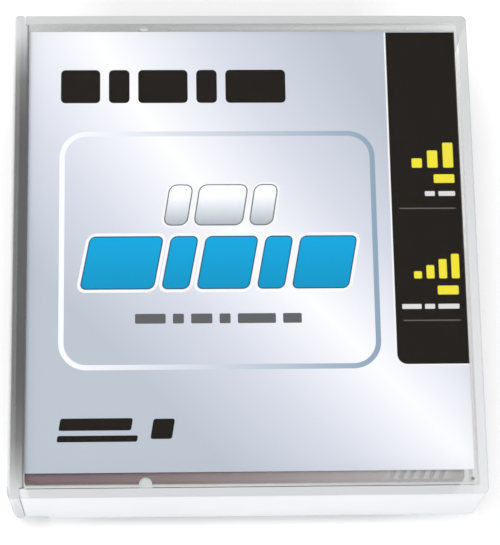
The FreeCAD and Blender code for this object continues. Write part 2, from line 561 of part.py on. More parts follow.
def shell_openings():
    """Openings through the walls: reel drive, leader door and write-protect window."""
    drive = disc(DRIVE_OPENING_R, (CART_Z[0] - CUT, ROOM_Z[0] + REEL_SEAT_HEIGHT + CUT))
    door_z = (ROOM_Z[0] + DOOR_OPENING_MARGIN, ROOM_Z[1] - DOOR_OPENING_MARGIN)
    door = box((ROOM_X[1] - CUT, CART_X[1] + CUT), DOOR_OPENING_Y, door_z)
    window_x = (WINDOW_X, WINDOW_X + WINDOW_LENGTH)
    window = box(window_x, (CART_Y[0] - CUT, ROOM_Y[0] + CUT), around(CART_MID_Z, WINDOW_HEIGHT))
    return [drive, door, window]


def surface_recesses():
    """Label recess, side notches, slanted grip grooves and the insertion arrow."""
    label_z = (CART_Z[0] + LABEL_MARGIN_Z, CART_Z[1] - LABEL_MARGIN_Z)
    label_x = (CART_X[0] + LABEL_LEFT_MARGIN, CART_X[1] - LABEL_RIGHT_MARGIN)
    label = box(label_x, (CART_Y[0] - CUT, CART_Y[0] + LABEL_RECESS), label_z)
    notch_y = (CART_Y[0] + NOTCH_FROM_FRONT, CART_Y[0] + NOTCH_FROM_FRONT + NOTCH_LENGTH)
    notch_z = around(CART_MID_Z, NOTCH_HEIGHT)
    notches = [
        box((CART_X[0] - CUT, CART_X[0] + NOTCH_DEPTH), notch_y, notch_z),
        box((CART_X[1] - NOTCH_DEPTH, CART_X[1] + CUT), notch_y, notch_z),
    ]
    grooves = []
    for index in range(GRIP_COUNT):
        start = V(CART_X[1] - GRIP_FROM_SIDE - index * GRIP_PITCH, CART_Y[0] + GRIP_FRONT_GAP, 0)
        groove = box(around(0, GRIP_WIDTH), (0, GRIP_LENGTH), (CART_Z[1] - GRIP_DEPTH, CART_Z[1] + CUT))
        groove.rotate(V(0, 0, 0), Z_AXIS, -GRIP_SLANT_DEG)
        groove.translate(start - V(GRIP_LENGTH * math.sin(math.radians(GRIP_SLANT_DEG)) / 2, 0, 0))
        grooves.append(groove)
    tip = CART_Y[1] - ARROW_FROM_END
    arrow_points = [
        (REEL_X, tip),
        (REEL_X - ARROW_WIDTH / 2, tip - ARROW_LENGTH),
        (REEL_X + ARROW_WIDTH / 2, tip - ARROW_LENGTH),
    ]
    arrow = prism(arrow_points, (CART_Z[1] - ARROW_DEPTH, CART_Z[1] + CUT))
    return [label] + notches + grooves + [arrow]


def whole_shell():
    """Both halves of the cartridge shell as one hollow body, before it is parted."""
    outer = shell_outline(0, CART_Z)
    rims = edges_at(outer, CART_Z[0]) + edges_at(outer, CART_Z[1])
    outer = outer.makeFillet(SHELL_EDGE_R, rims)
    shell = outer.cut(shell_outline(SHELL_WALL, ROOM_Z))
    seat = disc(REEL_SEAT_R, (ROOM_Z[0], ROOM_Z[0] + REEL_SEAT_HEIGHT))
    inner_features = screw_bosses() + well_ribs() + pin_pockets() + door_guides() + slider_rails()
    inner_features += chip_ledges() + [seat]
    shell = shell.fuse(inner_features)
    return shell.cut(shell_openings() + surface_recesses() + screw_holes())


def parting(inset, rise):
    """All that lies below the parting line, with its raised inner step."""
    far = 2 * max(CASE_WIDTH, CASE_DEPTH)
    below = box((-far, far), (-far, far), (-CASE_HEIGHT, CART_MID_Z))
    step = shell_outline(inset, (CART_MID_Z - CUT, CART_MID_Z + rise))
    return below.fuse(step)


def lower_shell(shell):
    """Bottom half, with the raised inner lip."""
    return shell.common(parting(LIP_INSET + LIP_PLAY, LIP_HEIGHT)).removeSplitter()


def upper_shell(shell):
    """Top half, rebated for the lip, with the brake's post and spring ring under its roof."""
    half = shell.cut(parting(LIP_INSET - LIP_PLAY, LIP_HEIGHT + 2 * LIP_PLAY))
    return half.fuse(brake_key()).removeSplitter()


# ---- reel
def reel_hub():
    """Hub cup and lower flange in one piece, with drive teeth below and brake teeth inside."""
    x, z = REEL_X, REEL_Z
    outline = [
        V(x, REEL_Y, z),
        V(x + REEL_SEAT_R, REEL_Y, z),
        V(x + FLANGE_R, REEL_Y, z + FLANGE_THICKNESS - FLANGE_RIM),
        V(x + FLANGE_R, REEL_Y, z + FLANGE_THICKNESS),
        V(x + HUB_R, REEL_Y, z + FLANGE_THICKNESS),
        V(x + HUB_R, REEL_Y, UPPER_FLANGE_Z),
        V(x + HUB_BORE_R, REEL_Y, UPPER_FLANGE_Z),
        V(x + HUB_BORE_R, REEL_Y, HUB_FLOOR_TOP),
        V(x, REEL_Y, HUB_FLOOR_TOP),
    ]
    face = Part.Face(Part.makePolygon(outline + outline[:1]))
    cup = face.revolve(V(REEL_X, REEL_Y, 0), Z_AXIS, 360)
    drive_ring = ring(DRIVE_RING_IN_R, DRIVE_RING_OUT_R, (REEL_Z - DRIVE_RING_BASE, REEL_Z))
    base = REEL_Z - DRIVE_RING_BASE
    drive_teeth = tooth_ring(
        DRIVE_TOOTH_COUNT, 0, DRIVE_TOOTH_ROOT, DRIVE_TOOTH_TIP,
        (DRIVE_RING_IN_R + TOOTH_INSET, DRIVE_RING_OUT_R - TOOTH_INSET), base, base - DRIVE_TOOTH_HEIGHT,
    )
    brake_teeth = tooth_ring(
        BRAKE_TOOTH_COUNT, 0, BRAKE_TOOTH_ROOT, BRAKE_TOOTH_TIP,
        (BRAKE_RING_IN_R, BRAKE_RING_OUT_R), HUB_FLOOR_TOP, HUB_FLOOR_TOP + BRAKE_TOOTH_HEIGHT,
    )
    leg_hole = disc(PAD_LEG_R + PAD_LEG_PLAY, (REEL_Z - CUT, HUB_FLOOR_TOP + CUT), REEL_X + PAD_LEG_CIRCLE)
    leg_holes = [about_reel(leg_hole, PAD_LEG_COUNT, index) for index in range(PAD_LEG_COUNT)]
    return cup.fuse([drive_ring] + drive_teeth + brake_teeth).cut(leg_holes)


def reel_upper_flange():
    """Upper flange, with the spigot that centres it in the hub's bore."""
    z = UPPER_FLANGE_Z
    outer = HUB_BORE_R - SPIGOT_PLAY
    inner = outer - SPIGOT_WALL
    outline = [
        V(REEL_X + inner, REEL_Y, z - SPIGOT_HEIGHT),
        V(REEL_X + outer, REEL_Y, z - SPIGOT_HEIGHT),
        V(REEL_X + outer, REEL_Y, z),
        V(REEL_X + FLANGE_R, REEL_Y, z),
        V(REEL_X + FLANGE_R, REEL_Y, z + FLANGE_RIM),
        V(REEL_X + REEL_SEAT_R, REEL_Y, z + FLANGE_THICKNESS),
        V(REEL_X + inner, REEL_Y, z + FLANGE_THICKNESS),
    ]
    face = Part.Face(Part.makePolygon(outline + outline[:1]))
    return face.revolve(V(REEL_X, REEL_Y, 0), Z_AXIS, 360)


def drive_plate():
    """Steel ring under the hub that the drive's magnet holds."""
    return ring(PLATE_IN_R, PLATE_OUT_R, (REEL_Z - PLATE_THICKNESS, REEL_Z))


def tape_pack():
    """The wound tape."""
    return ring(HUB_R + TAPE_GAP, TAPE_R, TAPE_Z)


# ---- brake
def brake_button():
    """Toothed disc that locks the reel, with the boss that slides on the roof's keyed post."""
    plate = disc(BRAKE_RING_OUT_R, BRAKE_DISC_Z)
    boss = disc(BRAKE_BOSS_R, (BRAKE_DISC_Z[1], BRAKE_DISC_Z[1] + BRAKE_BOSS_HEIGHT))
    teeth = tooth_ring(
        BRAKE_TOOTH_COUNT, 0.5, BRAKE_TOOTH_ROOT, BRAKE_TOOTH_TIP,
        (BRAKE_RING_IN_R + TOOTH_INSET, BRAKE_RING_OUT_R - TOOTH_INSET), BRAKE_DISC_Z[0], BRAKE_TEETH_Z,
    )
    bore_z = (BRAKE_DISC_Z[1], BRAKE_DISC_Z[1] + BRAKE_BOSS_HEIGHT)
    bore = disc(BRAKE_KEY_R + BRAKE_KEY_PLAY, bore_z)
    span = BRAKE_KEY_SPAN + 2 * BRAKE_KEY_PLAY
    width = BRAKE_KEY_WIDTH + 2 * BRAKE_KEY_PLAY
    slot = box(around(REEL_X, span), around(REEL_Y, width), bore_z)
    return plate.fuse([boss] + teeth).cut([bore, slot])


def brake_spring():
    """Coil spring between the brake and the roof."""
    bottom = BRAKE_DISC_Z[1] + SPRING_SEAT_GAP
    spring = coil(SPRING_R, SPRING_WIRE_R, SPRING_TURNS, ROOM_Z[1] - SPRING_SEAT_GAP - bottom)
    spring.translate(V(REEL_X, REEL_Y, bottom))
    return spring


def release_plate():
    """Three-legged plate in the hub that the drive pushes up to free the brake."""
    z = (PAD_TOP_Z - PAD_THICKNESS, PAD_TOP_Z)
    plate = disc(PAD_R, z)
    leg = disc(PAD_LEG_R, (CART_Z[0] + PAD_LEG_END, z[0]), REEL_X + PAD_LEG_CIRCLE)
    legs = [about_reel(leg, PAD_LEG_COUNT, index) for index in range(PAD_LEG_COUNT)]
    return plate.fuse(legs)


# ---- leader pin
def leader_pin():
    """Turned pin that the drive takes hold of."""
    x, y = LEADER_PIN
    low, high = ROOM_Z[0] + PIN_END_GAP, ROOM_Z[1] - PIN_END_GAP
    heads = [disc(PIN_HEAD_R, (low, low + PIN_HEAD), x, y), disc(PIN_HEAD_R, (high - PIN_HEAD, high), x, y)]
    return disc(PIN_R, (low, high), x, y).fuse(heads).removeSplitter()


def leader_line():
    """Where the free tape leaves the pack, and its direction and length to the pin's axis."""
    dx, dy = LEADER_PIN[0] - REEL_X, LEADER_PIN[1] - REEL_Y
    distance = math.hypot(dx, dy)
    radius = TAPE_R + LEADER_START_GAP
    angle = math.atan2(dy, dx) + math.acos(radius / distance)
    start = (REEL_X + radius * math.cos(angle), REEL_Y + radius * math.sin(angle))
    length = math.sqrt(distance ** 2 - radius ** 2)
    heading = math.degrees(math.atan2(LEADER_PIN[1] - start[1], LEADER_PIN[0] - start[0]))
    return start, heading, length


def leader_tape():
    """The free end of the tape, from the pack to the pin."""
    start, heading, length = leader_line()
    strip = box((0, length - PIN_R - CLAMP_PLAY), around(0, LEADER_THICKNESS), TAPE_Z)
    strip.rotate(V(0, 0, 0), Z_AXIS, heading)
    strip.translate(V(start[0], start[1], 0))
    return strip


def pin_clamp():
    """Slit sleeve that grips the tape's end on the pin."""
    x, y = LEADER_PIN
    heading = leader_line()[1]
    sleeve = ring(PIN_R + CLAMP_PLAY, CLAMP_R, TAPE_Z, x, y)
    slit = box((-2 * CLAMP_R, 0), around(0, CLAMP_SLOT), TAPE_Z)
    slit.rotate(V(0, 0, 0), Z_AXIS, heading)
    slit.translate(V(x, y, 0))
    return sleeve.cut(slit)


def leader_pin_spring():
    """Bent wire whose two arms lie across the pin's necks and keep it in its pockets."""
    x = LEADER_PIN[0] + PIN_R + RETAINER_PLAY + RETAINER_R
    back = LEADER_PIN[1] + RETAINER_BACK
    front = LEADER_PIN[1] - RETAINER_REACH
    neck = (TAPE_Z[0] - ROOM_Z[0] - PIN_END_GAP - PIN_HEAD) / 2
    low = TAPE_Z[0] - neck
    neck_top = (ROOM_Z[1] - PIN_END_GAP - PIN_HEAD - TAPE_Z[1]) / 2
    high = TAPE_Z[1] + neck_top
    pieces = [rod_along_y(RETAINER_R, x, z, (front, back)) for z in (low, high)]
    pieces += [Part.makeSphere(RETAINER_R, V(x, back, z)) for z in (low, high)]
    return disc(RETAINER_R, (low, high), x, back).fuse(pieces)


# ---- leader door
def access_door():
    """Sliding door over the leader pin, with the tab that the drive pushes."""
    z = (ROOM_Z[0] + DOOR_PLAY, ROOM_Z[1] - DOOR_PLAY)
    panel = box(DOOR_X, DOOR_Y, z)
    tab_y = (DOOR_Y[1] - DOOR_TAB_SET_BACK - DOOR_TAB_LENGTH, DOOR_Y[1] - DOOR_TAB_SET_BACK)
    margin = DOOR_OPENING_MARGIN + DOOR_PLAY
    tab_z = (ROOM_Z[0] + margin, ROOM_Z[1] - margin)
    return panel.fuse(box((DOOR_X[1], DOOR_X[1] + DOOR_TAB_REACH), tab_y, tab_z))


def door_spring():
    """Coil spring that closes the door."""
    length = DOOR_SPRING_LENGTH - 2 * DOOR_SPRING_GAP
    spring = coil(DOOR_SPRING_R, DOOR_SPRING_WIRE_R, DOOR_SPRING_TURNS, length)
    spring.rotate(V(0, 0, 0), X_AXIS, -90)
    x = DOOR_X[1] - DOOR_SPRING_R - DOOR_SPRING_WIRE_R
    spring.translate(V(x, DOOR_POST_Y + DOOR_SPRING_GAP, CART_MID_Z))
    return spring


# ---- small parts
def write_protect_tab():
    """Slider behind the front window, with the nub that a fingernail moves."""
    panel = box(SLIDER_X, SLIDER_Y, around(CART_MID_Z, SLIDER_HEIGHT))
    nub_x = (WINDOW_X + NUB_SIDE_GAP, WINDOW_X + NUB_SIDE_GAP + NUB_LENGTH)
    nub = box(nub_x, (SLIDER_Y[0] - NUB_REACH, SLIDER_Y[0]), around(CART_MID_Z, NUB_HEIGHT))
    return panel.fuse(nub)


def memory_chip():
    """Contactless memory board, set across a corner so that it can be read from two sides."""
    z = (ROOM_Z[0] + CHIP_PLAY / 2, ROOM_Z[0] + CHIP_PLAY / 2 + CHIP_HEIGHT)
    return chip_frame(CHIP_THICKNESS, CHIP_LENGTH, z, 0)


def shell_screws():
    """The equal screws that hold the shell together, driven from below."""
    head_z = (CART_Z[0] + SCREW_SINK, CART_Z[0] + SCREW_SINK + SCREW_HEAD)
    screws = []
    for x, y in SCREW_PLACES:
        head = disc(SCREW_HEAD_R, head_z, x, y)
        shank = disc(SCREW_R, (head_z[1], head_z[1] + SCREW_LENGTH), x, y)
        angles = [math.radians(60 * corner) for corner in range(6)]
        socket = prism(
            [(x + SCREW_SOCKET_R * math.cos(a), y + SCREW_SOCKET_R * math.sin(a)) for a in angles],
            (head_z[0], head_z[0] + SCREW_SOCKET_DEPTH),
        )
        screws.append(head.fuse(shank).cut(socket))
    return Part.makeCompound(screws)


def main():
    os.makedirs("parts", exist_ok=True)
    shell = whole_shell()
    pieces = {
        "case_base": case_base(),
        "case_cover": case_cover(),
        "insert_card": insert_card(),
        "lower_shell": lower_shell(shell),
        "upper_shell": upper_shell(shell),
        "reel_hub": reel_hub(),
        "reel_upper_flange": reel_upper_flange(),
        "drive_plate": drive_plate(),
        "tape_pack": tape_pack(),
        "brake_button": brake_button(),
        "brake_spring": brake_spring(),
        "release_plate": release_plate(),
        "leader_pin": leader_pin(),
        "leader_tape": leader_tape(),
        "pin_clamp": pin_clamp(),
        "leader_pin_spring": leader_pin_spring(),
        "access_door": access_door(),
        "door_spring": door_spring(),
        "write_protect_tab": write_protect_tab(),
        "memory_chip": memory_chip(),
        "shell_screws": shell_screws(),
    }
    for node, shape in pieces.items():
        save(shape, node)
        print(node, "solids", len(shape.Solids), "volume", round(shape.Volume, 1))


main()
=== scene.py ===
import math

import bmesh
import bpy
from mathutils import Matrix, Vector


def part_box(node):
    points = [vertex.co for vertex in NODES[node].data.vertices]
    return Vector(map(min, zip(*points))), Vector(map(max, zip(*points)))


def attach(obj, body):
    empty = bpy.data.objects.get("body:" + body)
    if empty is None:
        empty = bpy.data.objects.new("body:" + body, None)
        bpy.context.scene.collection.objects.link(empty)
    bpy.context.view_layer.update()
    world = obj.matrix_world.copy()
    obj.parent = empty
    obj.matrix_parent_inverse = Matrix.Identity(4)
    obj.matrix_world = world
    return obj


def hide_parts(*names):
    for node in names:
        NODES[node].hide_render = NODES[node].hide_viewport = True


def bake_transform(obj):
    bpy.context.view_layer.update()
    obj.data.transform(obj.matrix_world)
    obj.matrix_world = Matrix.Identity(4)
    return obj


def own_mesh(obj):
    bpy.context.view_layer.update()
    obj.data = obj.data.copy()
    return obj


bl_info = {
    "name": "Data cartridge in its library case",
    "version": (1, 0, 0),
    "blender": (4, 5, 0),
    "location": "3D View > Sidebar > Library case",
    "description": "Finishes the cartridge, its clear case and the printed card, and sets the stage",
    "category": "Object",
}

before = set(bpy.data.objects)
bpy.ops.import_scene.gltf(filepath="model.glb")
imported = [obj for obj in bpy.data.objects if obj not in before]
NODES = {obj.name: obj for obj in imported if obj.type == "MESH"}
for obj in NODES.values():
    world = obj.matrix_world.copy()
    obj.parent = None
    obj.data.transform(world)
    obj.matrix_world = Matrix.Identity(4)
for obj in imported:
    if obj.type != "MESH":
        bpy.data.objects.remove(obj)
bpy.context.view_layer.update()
CARD_LOW, CARD_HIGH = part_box("insert_card")
CASE_LOW, CASE_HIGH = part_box("case_base")
COVER_LOW, COVER_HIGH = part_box("case_cover")
REEL_LOW, REEL_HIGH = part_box("reel_hub")
SHELL_LOW, SHELL_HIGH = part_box("upper_shell")

MM = 0.001
HAIR = 0.05 * MM  # what a point may be off a face and still count as on it

# ---- the case's walls and plate; the spine at the cover's left edge is the case's left side
COVER_GAP = 0.25 * MM
WALL = CASE_HIGH.x - COVER_HIGH.x - COVER_GAP
WALL_FACE_X = CASE_HIGH.x - WALL
WALL_FACE_Y = CASE_HIGH.y - WALL
PLATE_Y = WALL_FACE_Y - COVER_GAP
RIM_BAND = 0.45 * MM
KEEPER_X = COVER_LOW.x + 31.75 * MM
KEEPER_REACH = 1.6 * MM
KEEPER_DEPTH = 3.0 * MM
LIP_TOP = CARD_HIGH.z + 0.3 * MM  # between the plate's underside and its top
GATE_MARK = Vector((COVER_HIGH.x - 1.2 * MM, -PLATE_Y + 1.2 * MM))
GATE_MARK_R = 0.4 * MM

# ---- the card
CARD_MIDDLE = (CARD_LOW + CARD_HIGH) / 2
CARD_FACE = CARD_HIGH.z
FOLD_STRIP = 2.25 * MM
FOLD_END = CARD_LOW.x + FOLD_STRIP
FOLD_FRONT_SHIFT = 3.0 * MM
# where the painted shade on the spine is darkest and where it turns to painted light
FOLD_DARK_TO, FOLD_LIGHT_FROM = 25.0 * MM, 55.0 * MM  # measured from the strip's middle
# the card's dark fold strip turns lighter towards its ends as painted light
FOLD_INK_DARK_TO, FOLD_INK_LIGHT_FROM = 34.0 * MM, 56.0 * MM

# the card's painted sheen: a bright ridge put into its colour, which leans across the face, bends behind the
# middle and falls off evenly on both sides
SHEEN_OFFSET = 3.4 * MM
SHEEN_BEND = 4.1
SHEEN_SLOPE = 0.93
SHEEN_REACH = 58.0 * MM

LEVEL_CORNER = 0.3  # corner radius of the band's level bars, in mm as all print is given

# ---- the shell's grips lean to the right going back; their pad is measured in from its front right corner
GRIP_LEAN = 0.466
GRIP_PAD_IN, GRIP_PAD_OUT = 19.6 * MM, 4.2 * MM
GRIP_FADE = 2.5 * MM
GRIP_REACH = 9.0 * MM
GRIP_DEPTH = 0.6 * MM
SHELL_EDGE_R = 0.8 * MM

# ---- the springs, as wide and with as many turns as their CAD solids
REEL_AXIS = (REEL_LOW + REEL_HIGH) / 2
BRAKE_COIL_R, BRAKE_WIRE_R, BRAKE_TURNS = 8.0 * MM, 0.45 * MM, 5
DOOR_COIL_R, DOOR_WIRE_R, DOOR_TURNS = 1.0 * MM, 0.2 * MM, 8
COIL_STEPS = 28
WIRE_SIDES = 12

# ---- the stage
FLOOR_HALF = 3.0
FLOOR_DROP = 0.1 * MM
LAMP_TOP_PLACE, LAMP_TOP_SIZE = (-0.25, 0.25, 1.0), 0.9
LAMP_FRONT_PLACE, LAMP_FRONT_SIZE = (0.1, -1.0, 0.25), 0.7
LAMP_FRONT_SHARE = 0.8
CAMERA_ASIDE = (2.2 * MM, 1.7 * MM)

# ---- colours that no setting holds, in linear values
# painted shade on the clear spine's top for the dark fold seen through it, lighter towards the ends as
# painted light
FOLD_PAINTED_SHADE_TONES = [
    (0.0, (0.020, 0.021, 0.021)),
    (0.27, (0.038, 0.040, 0.038)),
    (0.6, (0.105, 0.11, 0.105)),
    (0.8, (0.27, 0.28, 0.28)),
    (1.0, (0.54, 0.55, 0.56)),
]
FOLD_INK_AND_LIGHT_TONES = [(0.0, (0.025, 0.025, 0.028)), (0.45, (0.09, 0.095, 0.10)), (1.0, (0.62, 0.64, 0.64))]
# painted shadow in the card's crease, seen through the spine
CREASE_SHADOW = (0.020, 0.020, 0.022)
# painted reflection: the spine's end faces are coloured pale
SPINE_TIP_LIGHT = (0.66, 0.68, 0.75)
GATE_GREY = (0.16, 0.16, 0.17)
CARD_BACK = (0.80, 0.80, 0.79)
# painted light on the grip ridges and painted shade in the grip grooves
GRIP_RIDGE_LIGHT = (0.40, 0.32, 0.335)
GRIP_GROOVE_SHADE = (0.012, 0.006, 0.007)
PAPER_WHITE = (0.93, 0.94, 0.96)
NATURAL_PLASTIC = (0.76, 0.75, 0.71)
BRAKE_GREY = (0.035, 0.040, 0.050)
WHITE_ACETAL = (0.78, 0.78, 0.75)
CLAMP_WHITE = (0.70, 0.70, 0.68)
PLATE_STEEL = (0.60, 0.60, 0.61)
PIN_STEEL = (0.66, 0.66, 0.68)
SCREW_STEEL = (0.42, 0.42, 0.44)
SPRING_STEEL = (0.58, 0.58, 0.60)
BOARD_GREEN, BOARD_COPPER = (0.012, 0.07, 0.03), (0.05, 0.16, 0.06)


# ---- settings
def colour(name, description, default):
    """A colour that the panel shows, in linear values."""
    return bpy.props.FloatVectorProperty(
        name=name, description=description, default=default, subtype="COLOR", size=3, min=0.0, max=1.0
    )


def length(name, description, default):
    """A length that the panel shows, in metres."""
    return bpy.props.FloatProperty(name=name, description=description, default=default, unit="LENGTH")


def share(name, description, default):
    """A share from none to all."""
    return bpy.props.FloatProperty(
        name=name, description=description, default=default, min=0.0, max=1.0, subtype="FACTOR"
    )


def angle(name, description, degrees):
    """An angle that the panel shows in degrees."""
    return bpy.props.FloatProperty(
        name=name, description=description, default=math.radians(degrees), unit="ROTATION"
    )


class CasePlasticSettings(bpy.types.PropertyGroup):
    """Clear and milky plastics of the library case."""

    wall_colour: colour("Wall colour", "Colour of the milky walls", (0.84, 0.855, 0.885))
    # painted shade on the walls' top rim, darkest at the back
    back_rim_shade: colour("Rim colour", "Colour of the back wall's rim", (0.55, 0.56, 0.56))
    rim_haze: share("Rim haze", "How much of what is below it the walls' rim hides", 0.78)
    wall_haze: share("Wall haze", "How much of what is behind it the back wall's outer face hides", 0.32)
    front_haze: share("Front haze", "How much more the front wall hides", 0.36)
    inner_haze: share("Inner haze", "The same for the inner faces and the underside", 0.07)
    cover_colour: colour("Cover colour", "Colour of the cover's haze", (0.80, 0.83, 0.82))
    window_haze: share("Window haze", "Haze of the cover over the card", 0.002)
    margin_haze: share("Margin haze", "Haze of the cover outside the card, at its spine", 0.055)
    margin_rise: share("Margin rise", "How much hazier it grows towards the other side", 0.33)
    front_limit: share("Front limit", "The most haze along the front, where the shell's grips show", 0.255)
    # the lip's haze is a painted highlight over the shade in the front gap
    lip_highlight_haze: share("Lip haze", "Haze of the cover's front lip", 0.80)
    keeper_haze: share("Keeper haze", "Haze of the lugs that keep the card", 0.80)
    # the spine's top carries painted shade for the dark fold seen through it
    spine_shade: share("Spine shade", "How strongly the clear spine shows the dark strip inside it", 0.90)


class PrintSettings(bpy.types.PropertyGroup):
    """Colours and sizes of the print on the card."""

    # the three silvers carry the painted sheen across the card's face
    light_silver: colour("Light silver", "Card where its sheen is brightest", (0.93, 0.93, 0.965))
    middle_silver: colour("Middle silver", "Card between its light and dark", (0.652, 0.680, 0.767))
    dark_silver: colour("Dark silver", "Card where its sheen is darkest", (0.480, 0.529, 0.602))
    black: colour("Black", "Side band and title", (0.0095, 0.0065, 0.004))
    steel_blue: colour("Steel blue", "Dark end of the frame line", (0.27, 0.37, 0.48))
    cyan: colour("Cyan", "Slanted blocks", (0.002, 0.330, 0.62))
    yellow: colour("Yellow", "Level bars on the band", (0.86, 0.76, 0.045))
    ink_step: length("Ink step", "Height of one layer of ink", 0.012 * MM)
    band_width: length("Band width", "Width of the black side band", 17.0 * MM)
    band_length: length("Band length", "Length of the black side band", 84.1 * MM)
    frame_line: length("Frame line", "Width of the frame's line", 1.25 * MM)


class CartridgeSettings(bpy.types.PropertyGroup):
    """Colours of the cartridge's own pieces."""

    shell: colour("Shell", "Burgundy of the shell", (0.125, 0.040, 0.055))
    door: colour("Door", "Dark burgundy of the sliding door", (0.070, 0.022, 0.030))
    tab: colour("Tab", "Write-protect slider", (0.60, 0.10, 0.035))
    film: colour("Film", "Wound tape", (0.022, 0.016, 0.014))


class StageSettings(bpy.types.PropertyGroup):
    """Floor, lamps and camera."""

    floor_colour: colour("Floor", "Colour of the floor", (0.93, 0.93, 0.93))
    floor_lift: share("Floor lift", "Light that the camera sees added to the floor", 0.24)
    camera_turn: angle("Camera turn", "Turn of the view about the upright axis", -7.93)
    camera_tilt: angle("Camera tilt", "Tilt away from straight down", 16.96)
    camera_roll: angle("Camera roll", "Turn of the picture about its own middle", 7.25)
    camera_distance: length("Camera distance", "Distance from the object's foot", 0.5489)
    camera_lens: bpy.props.FloatProperty(
        name="Lens", description="Focal length in millimetres", default=145.8, min=1.0
    )
    lamp_level: bpy.props.FloatProperty(
        name="Lamp level", description="Power of the large overhead lamp in watts", default=5.2, min=0.0
    )
    world_level: bpy.props.FloatProperty(
        name="World level", description="Strength of the even light from all round", default=0.62, min=0.0
    )


SETTINGS = {
    "case_plastic": CasePlasticSettings,
    "card_print": PrintSettings,
    "cartridge": CartridgeSettings,
    "studio": StageSettings,
}


# ---- material building blocks
def new_material(name):
    """An empty node material and its tree."""
    material = bpy.data.materials.new(name)
    material.use_nodes = True
    material.node_tree.nodes.clear()
    return material, material.node_tree


def node(tree, kind, inputs=None, **values):
    """A node with its values set; an input is a plain value or another node's output."""
    made = tree.nodes.new(kind)
    for key, value in values.items():
        setattr(made, key, value)
    for key, value in (inputs or {}).items():
        if isinstance(value, bpy.types.NodeSocket):
            tree.links.new(value, made.inputs[key])
        else:
            made.inputs[key].default_value = value
    return made


def calc(tree, operation, first, second=0.0, clamp=False):
    """One step of arithmetic."""
    made = node(tree, "ShaderNodeMath", {0: first, 1: second}, operation=operation, use_clamp=clamp)
    return made.outputs[0]


def times(tree, *factors):
    """Product of values or masks."""
    product = factors[0]
    for factor in factors[1:]:
        product = calc(tree, "MULTIPLY", product, factor)
    return product


def most(tree, *values):
    """Largest of values or masks."""
    largest = values[0]
    for value in values[1:]:
        largest = calc(tree, "MAXIMUM", largest, value)
    return largest


def outside(tree, mask):
    """Where a mask isn't."""
    return calc(tree, "SUBTRACT", 1.0, mask)


def above(tree, value, level):
    """1 where the value is above the level, and 0 elsewhere."""
    return calc(tree, "GREATER_THAN", value, level)


def below(tree, value, level):
    """1 where the value is below the level, and 0 elsewhere."""
    return calc(tree, "LESS_THAN", value, level)


def size_of(tree, value):
    """The value without its sign."""
    return calc(tree, "ABSOLUTE", value)


def switch(tree, mask, off, on):
    """One value off the mask and another on it."""
    return node(tree, "ShaderNodeMapRange", {"Value": mask, "To Min": off, "To Max": on}).outputs["Result"]


def varied(tree, level, pattern, swing):
    """A level with a pattern added to it."""
    return calc(tree, "ADD", level, calc(tree, "MULTIPLY", pattern, swing))


def position(tree):
    """Object coordinates."""
    return node(tree, "ShaderNodeTexCoord").outputs["Object"]


def split(tree, spot):
    """A position's X, Y and Z."""
    made = node(tree, "ShaderNodeSeparateXYZ", {0: spot})
    return made.outputs[0], made.outputs[1], made.outputs[2]


def facing_away(tree):
    """How much the surface turns away from the view, for gloss and sheen."""
    return node(tree, "ShaderNodeLayerWeight", {"Blend": 0.5}).outputs["Facing"]


def between(tree, value, low, high):
    """0 below low, 1 above high, and an even rise between them."""
    return node(
        tree, "ShaderNodeMapRange", {"Value": value, "From Min": low, "From Max": high}, clamp=True
    ).outputs["Result"]


def noise(tree, vector, size, detail=2.0, stretch=(1, 1, 1)):
    """Noise whose spots are about the given size, in metres."""
    if stretch != (1, 1, 1):
        vector = node(tree, "ShaderNodeMapping", {"Vector": vector, "Scale": stretch}).outputs[0]
    return node(
        tree, "ShaderNodeTexNoise", {"Vector": vector, "Scale": 1.0 / size, "Detail": detail}
    ).outputs["Fac"]


def ramp(tree, factor, stops):
    """Colour ramp through (place, colour) stops."""
    made = node(tree, "ShaderNodeValToRGB", {"Fac": factor})
    elements = made.color_ramp.elements
    while len(elements) < len(stops):
        elements.new(0.5)
    for element, (place, shade) in zip(elements, stops):
        element.position = place
        element.color = (*shade, 1.0)
    return made.outputs["Color"]


def blend(tree, factor, first, second):
    """Mix of two colours."""
    first = first if isinstance(first, bpy.types.NodeSocket) else (*first, 1.0)
    second = second if isinstance(second, bpy.types.NodeSocket) else (*second, 1.0)
    made = node(tree, "ShaderNodeMix", data_type="RGBA")
    for index, value in ((0, factor), (6, first), (7, second)):
        if isinstance(value, bpy.types.NodeSocket):
            tree.links.new(value, made.inputs[index])
        else:
            made.inputs[index].default_value = value
    return made.outputs[2]


def bump(tree, height, depth, strength=1.0):
    """Fine relief, depth in metres."""
    return node(
        tree, "ShaderNodeBump", {"Height": height, "Distance": depth, "Strength": strength}
    ).outputs["Normal"]


def surface(tree, **inputs):
    """The shader and the output; keys are socket names with _ for a space."""
    shader = node(tree, "ShaderNodeBsdfPrincipled", {k.replace("_", " "): v for k, v in inputs.items()})
    output = node(tree, "ShaderNodeOutputMaterial")
    tree.links.new(shader.outputs[0], output.inputs["Surface"])


def dress(name, material):
    """Give a CAD node its finish."""
    slots = NODES[name].material_slots
    if not slots:
        raise RuntimeError("no material slot on " + name)
    for slot in slots:
        slot.material = material


def scaled(shade, factor):
    """A colour made lighter or darker."""
    return tuple(min(1.0, c * factor) for c in shade)


# ---- finishes
def moulded_plastic(name, shade, grain=0.25 * MM, relief=0.012 * MM, rough=0.45, variation=0.05):
    """Opaque moulded plastic with a fine spark-eroded texture."""
    material, tree = new_material(name)
    spot = position(tree)
    cloud = noise(tree, spot, 14 * MM, 3.0)
    texture = noise(tree, spot, grain, 2.0)
    base = ramp(tree, cloud, [(0.3, scaled(shade, 1 - variation)), (0.7, scaled(shade, 1 + variation))])
    roughness = varied(tree, rough - 0.08, texture, 0.16)
    surface(tree, Base_Color=base, Roughness=roughness, IOR=1.5, Normal=bump(tree, texture, relief))
    return material


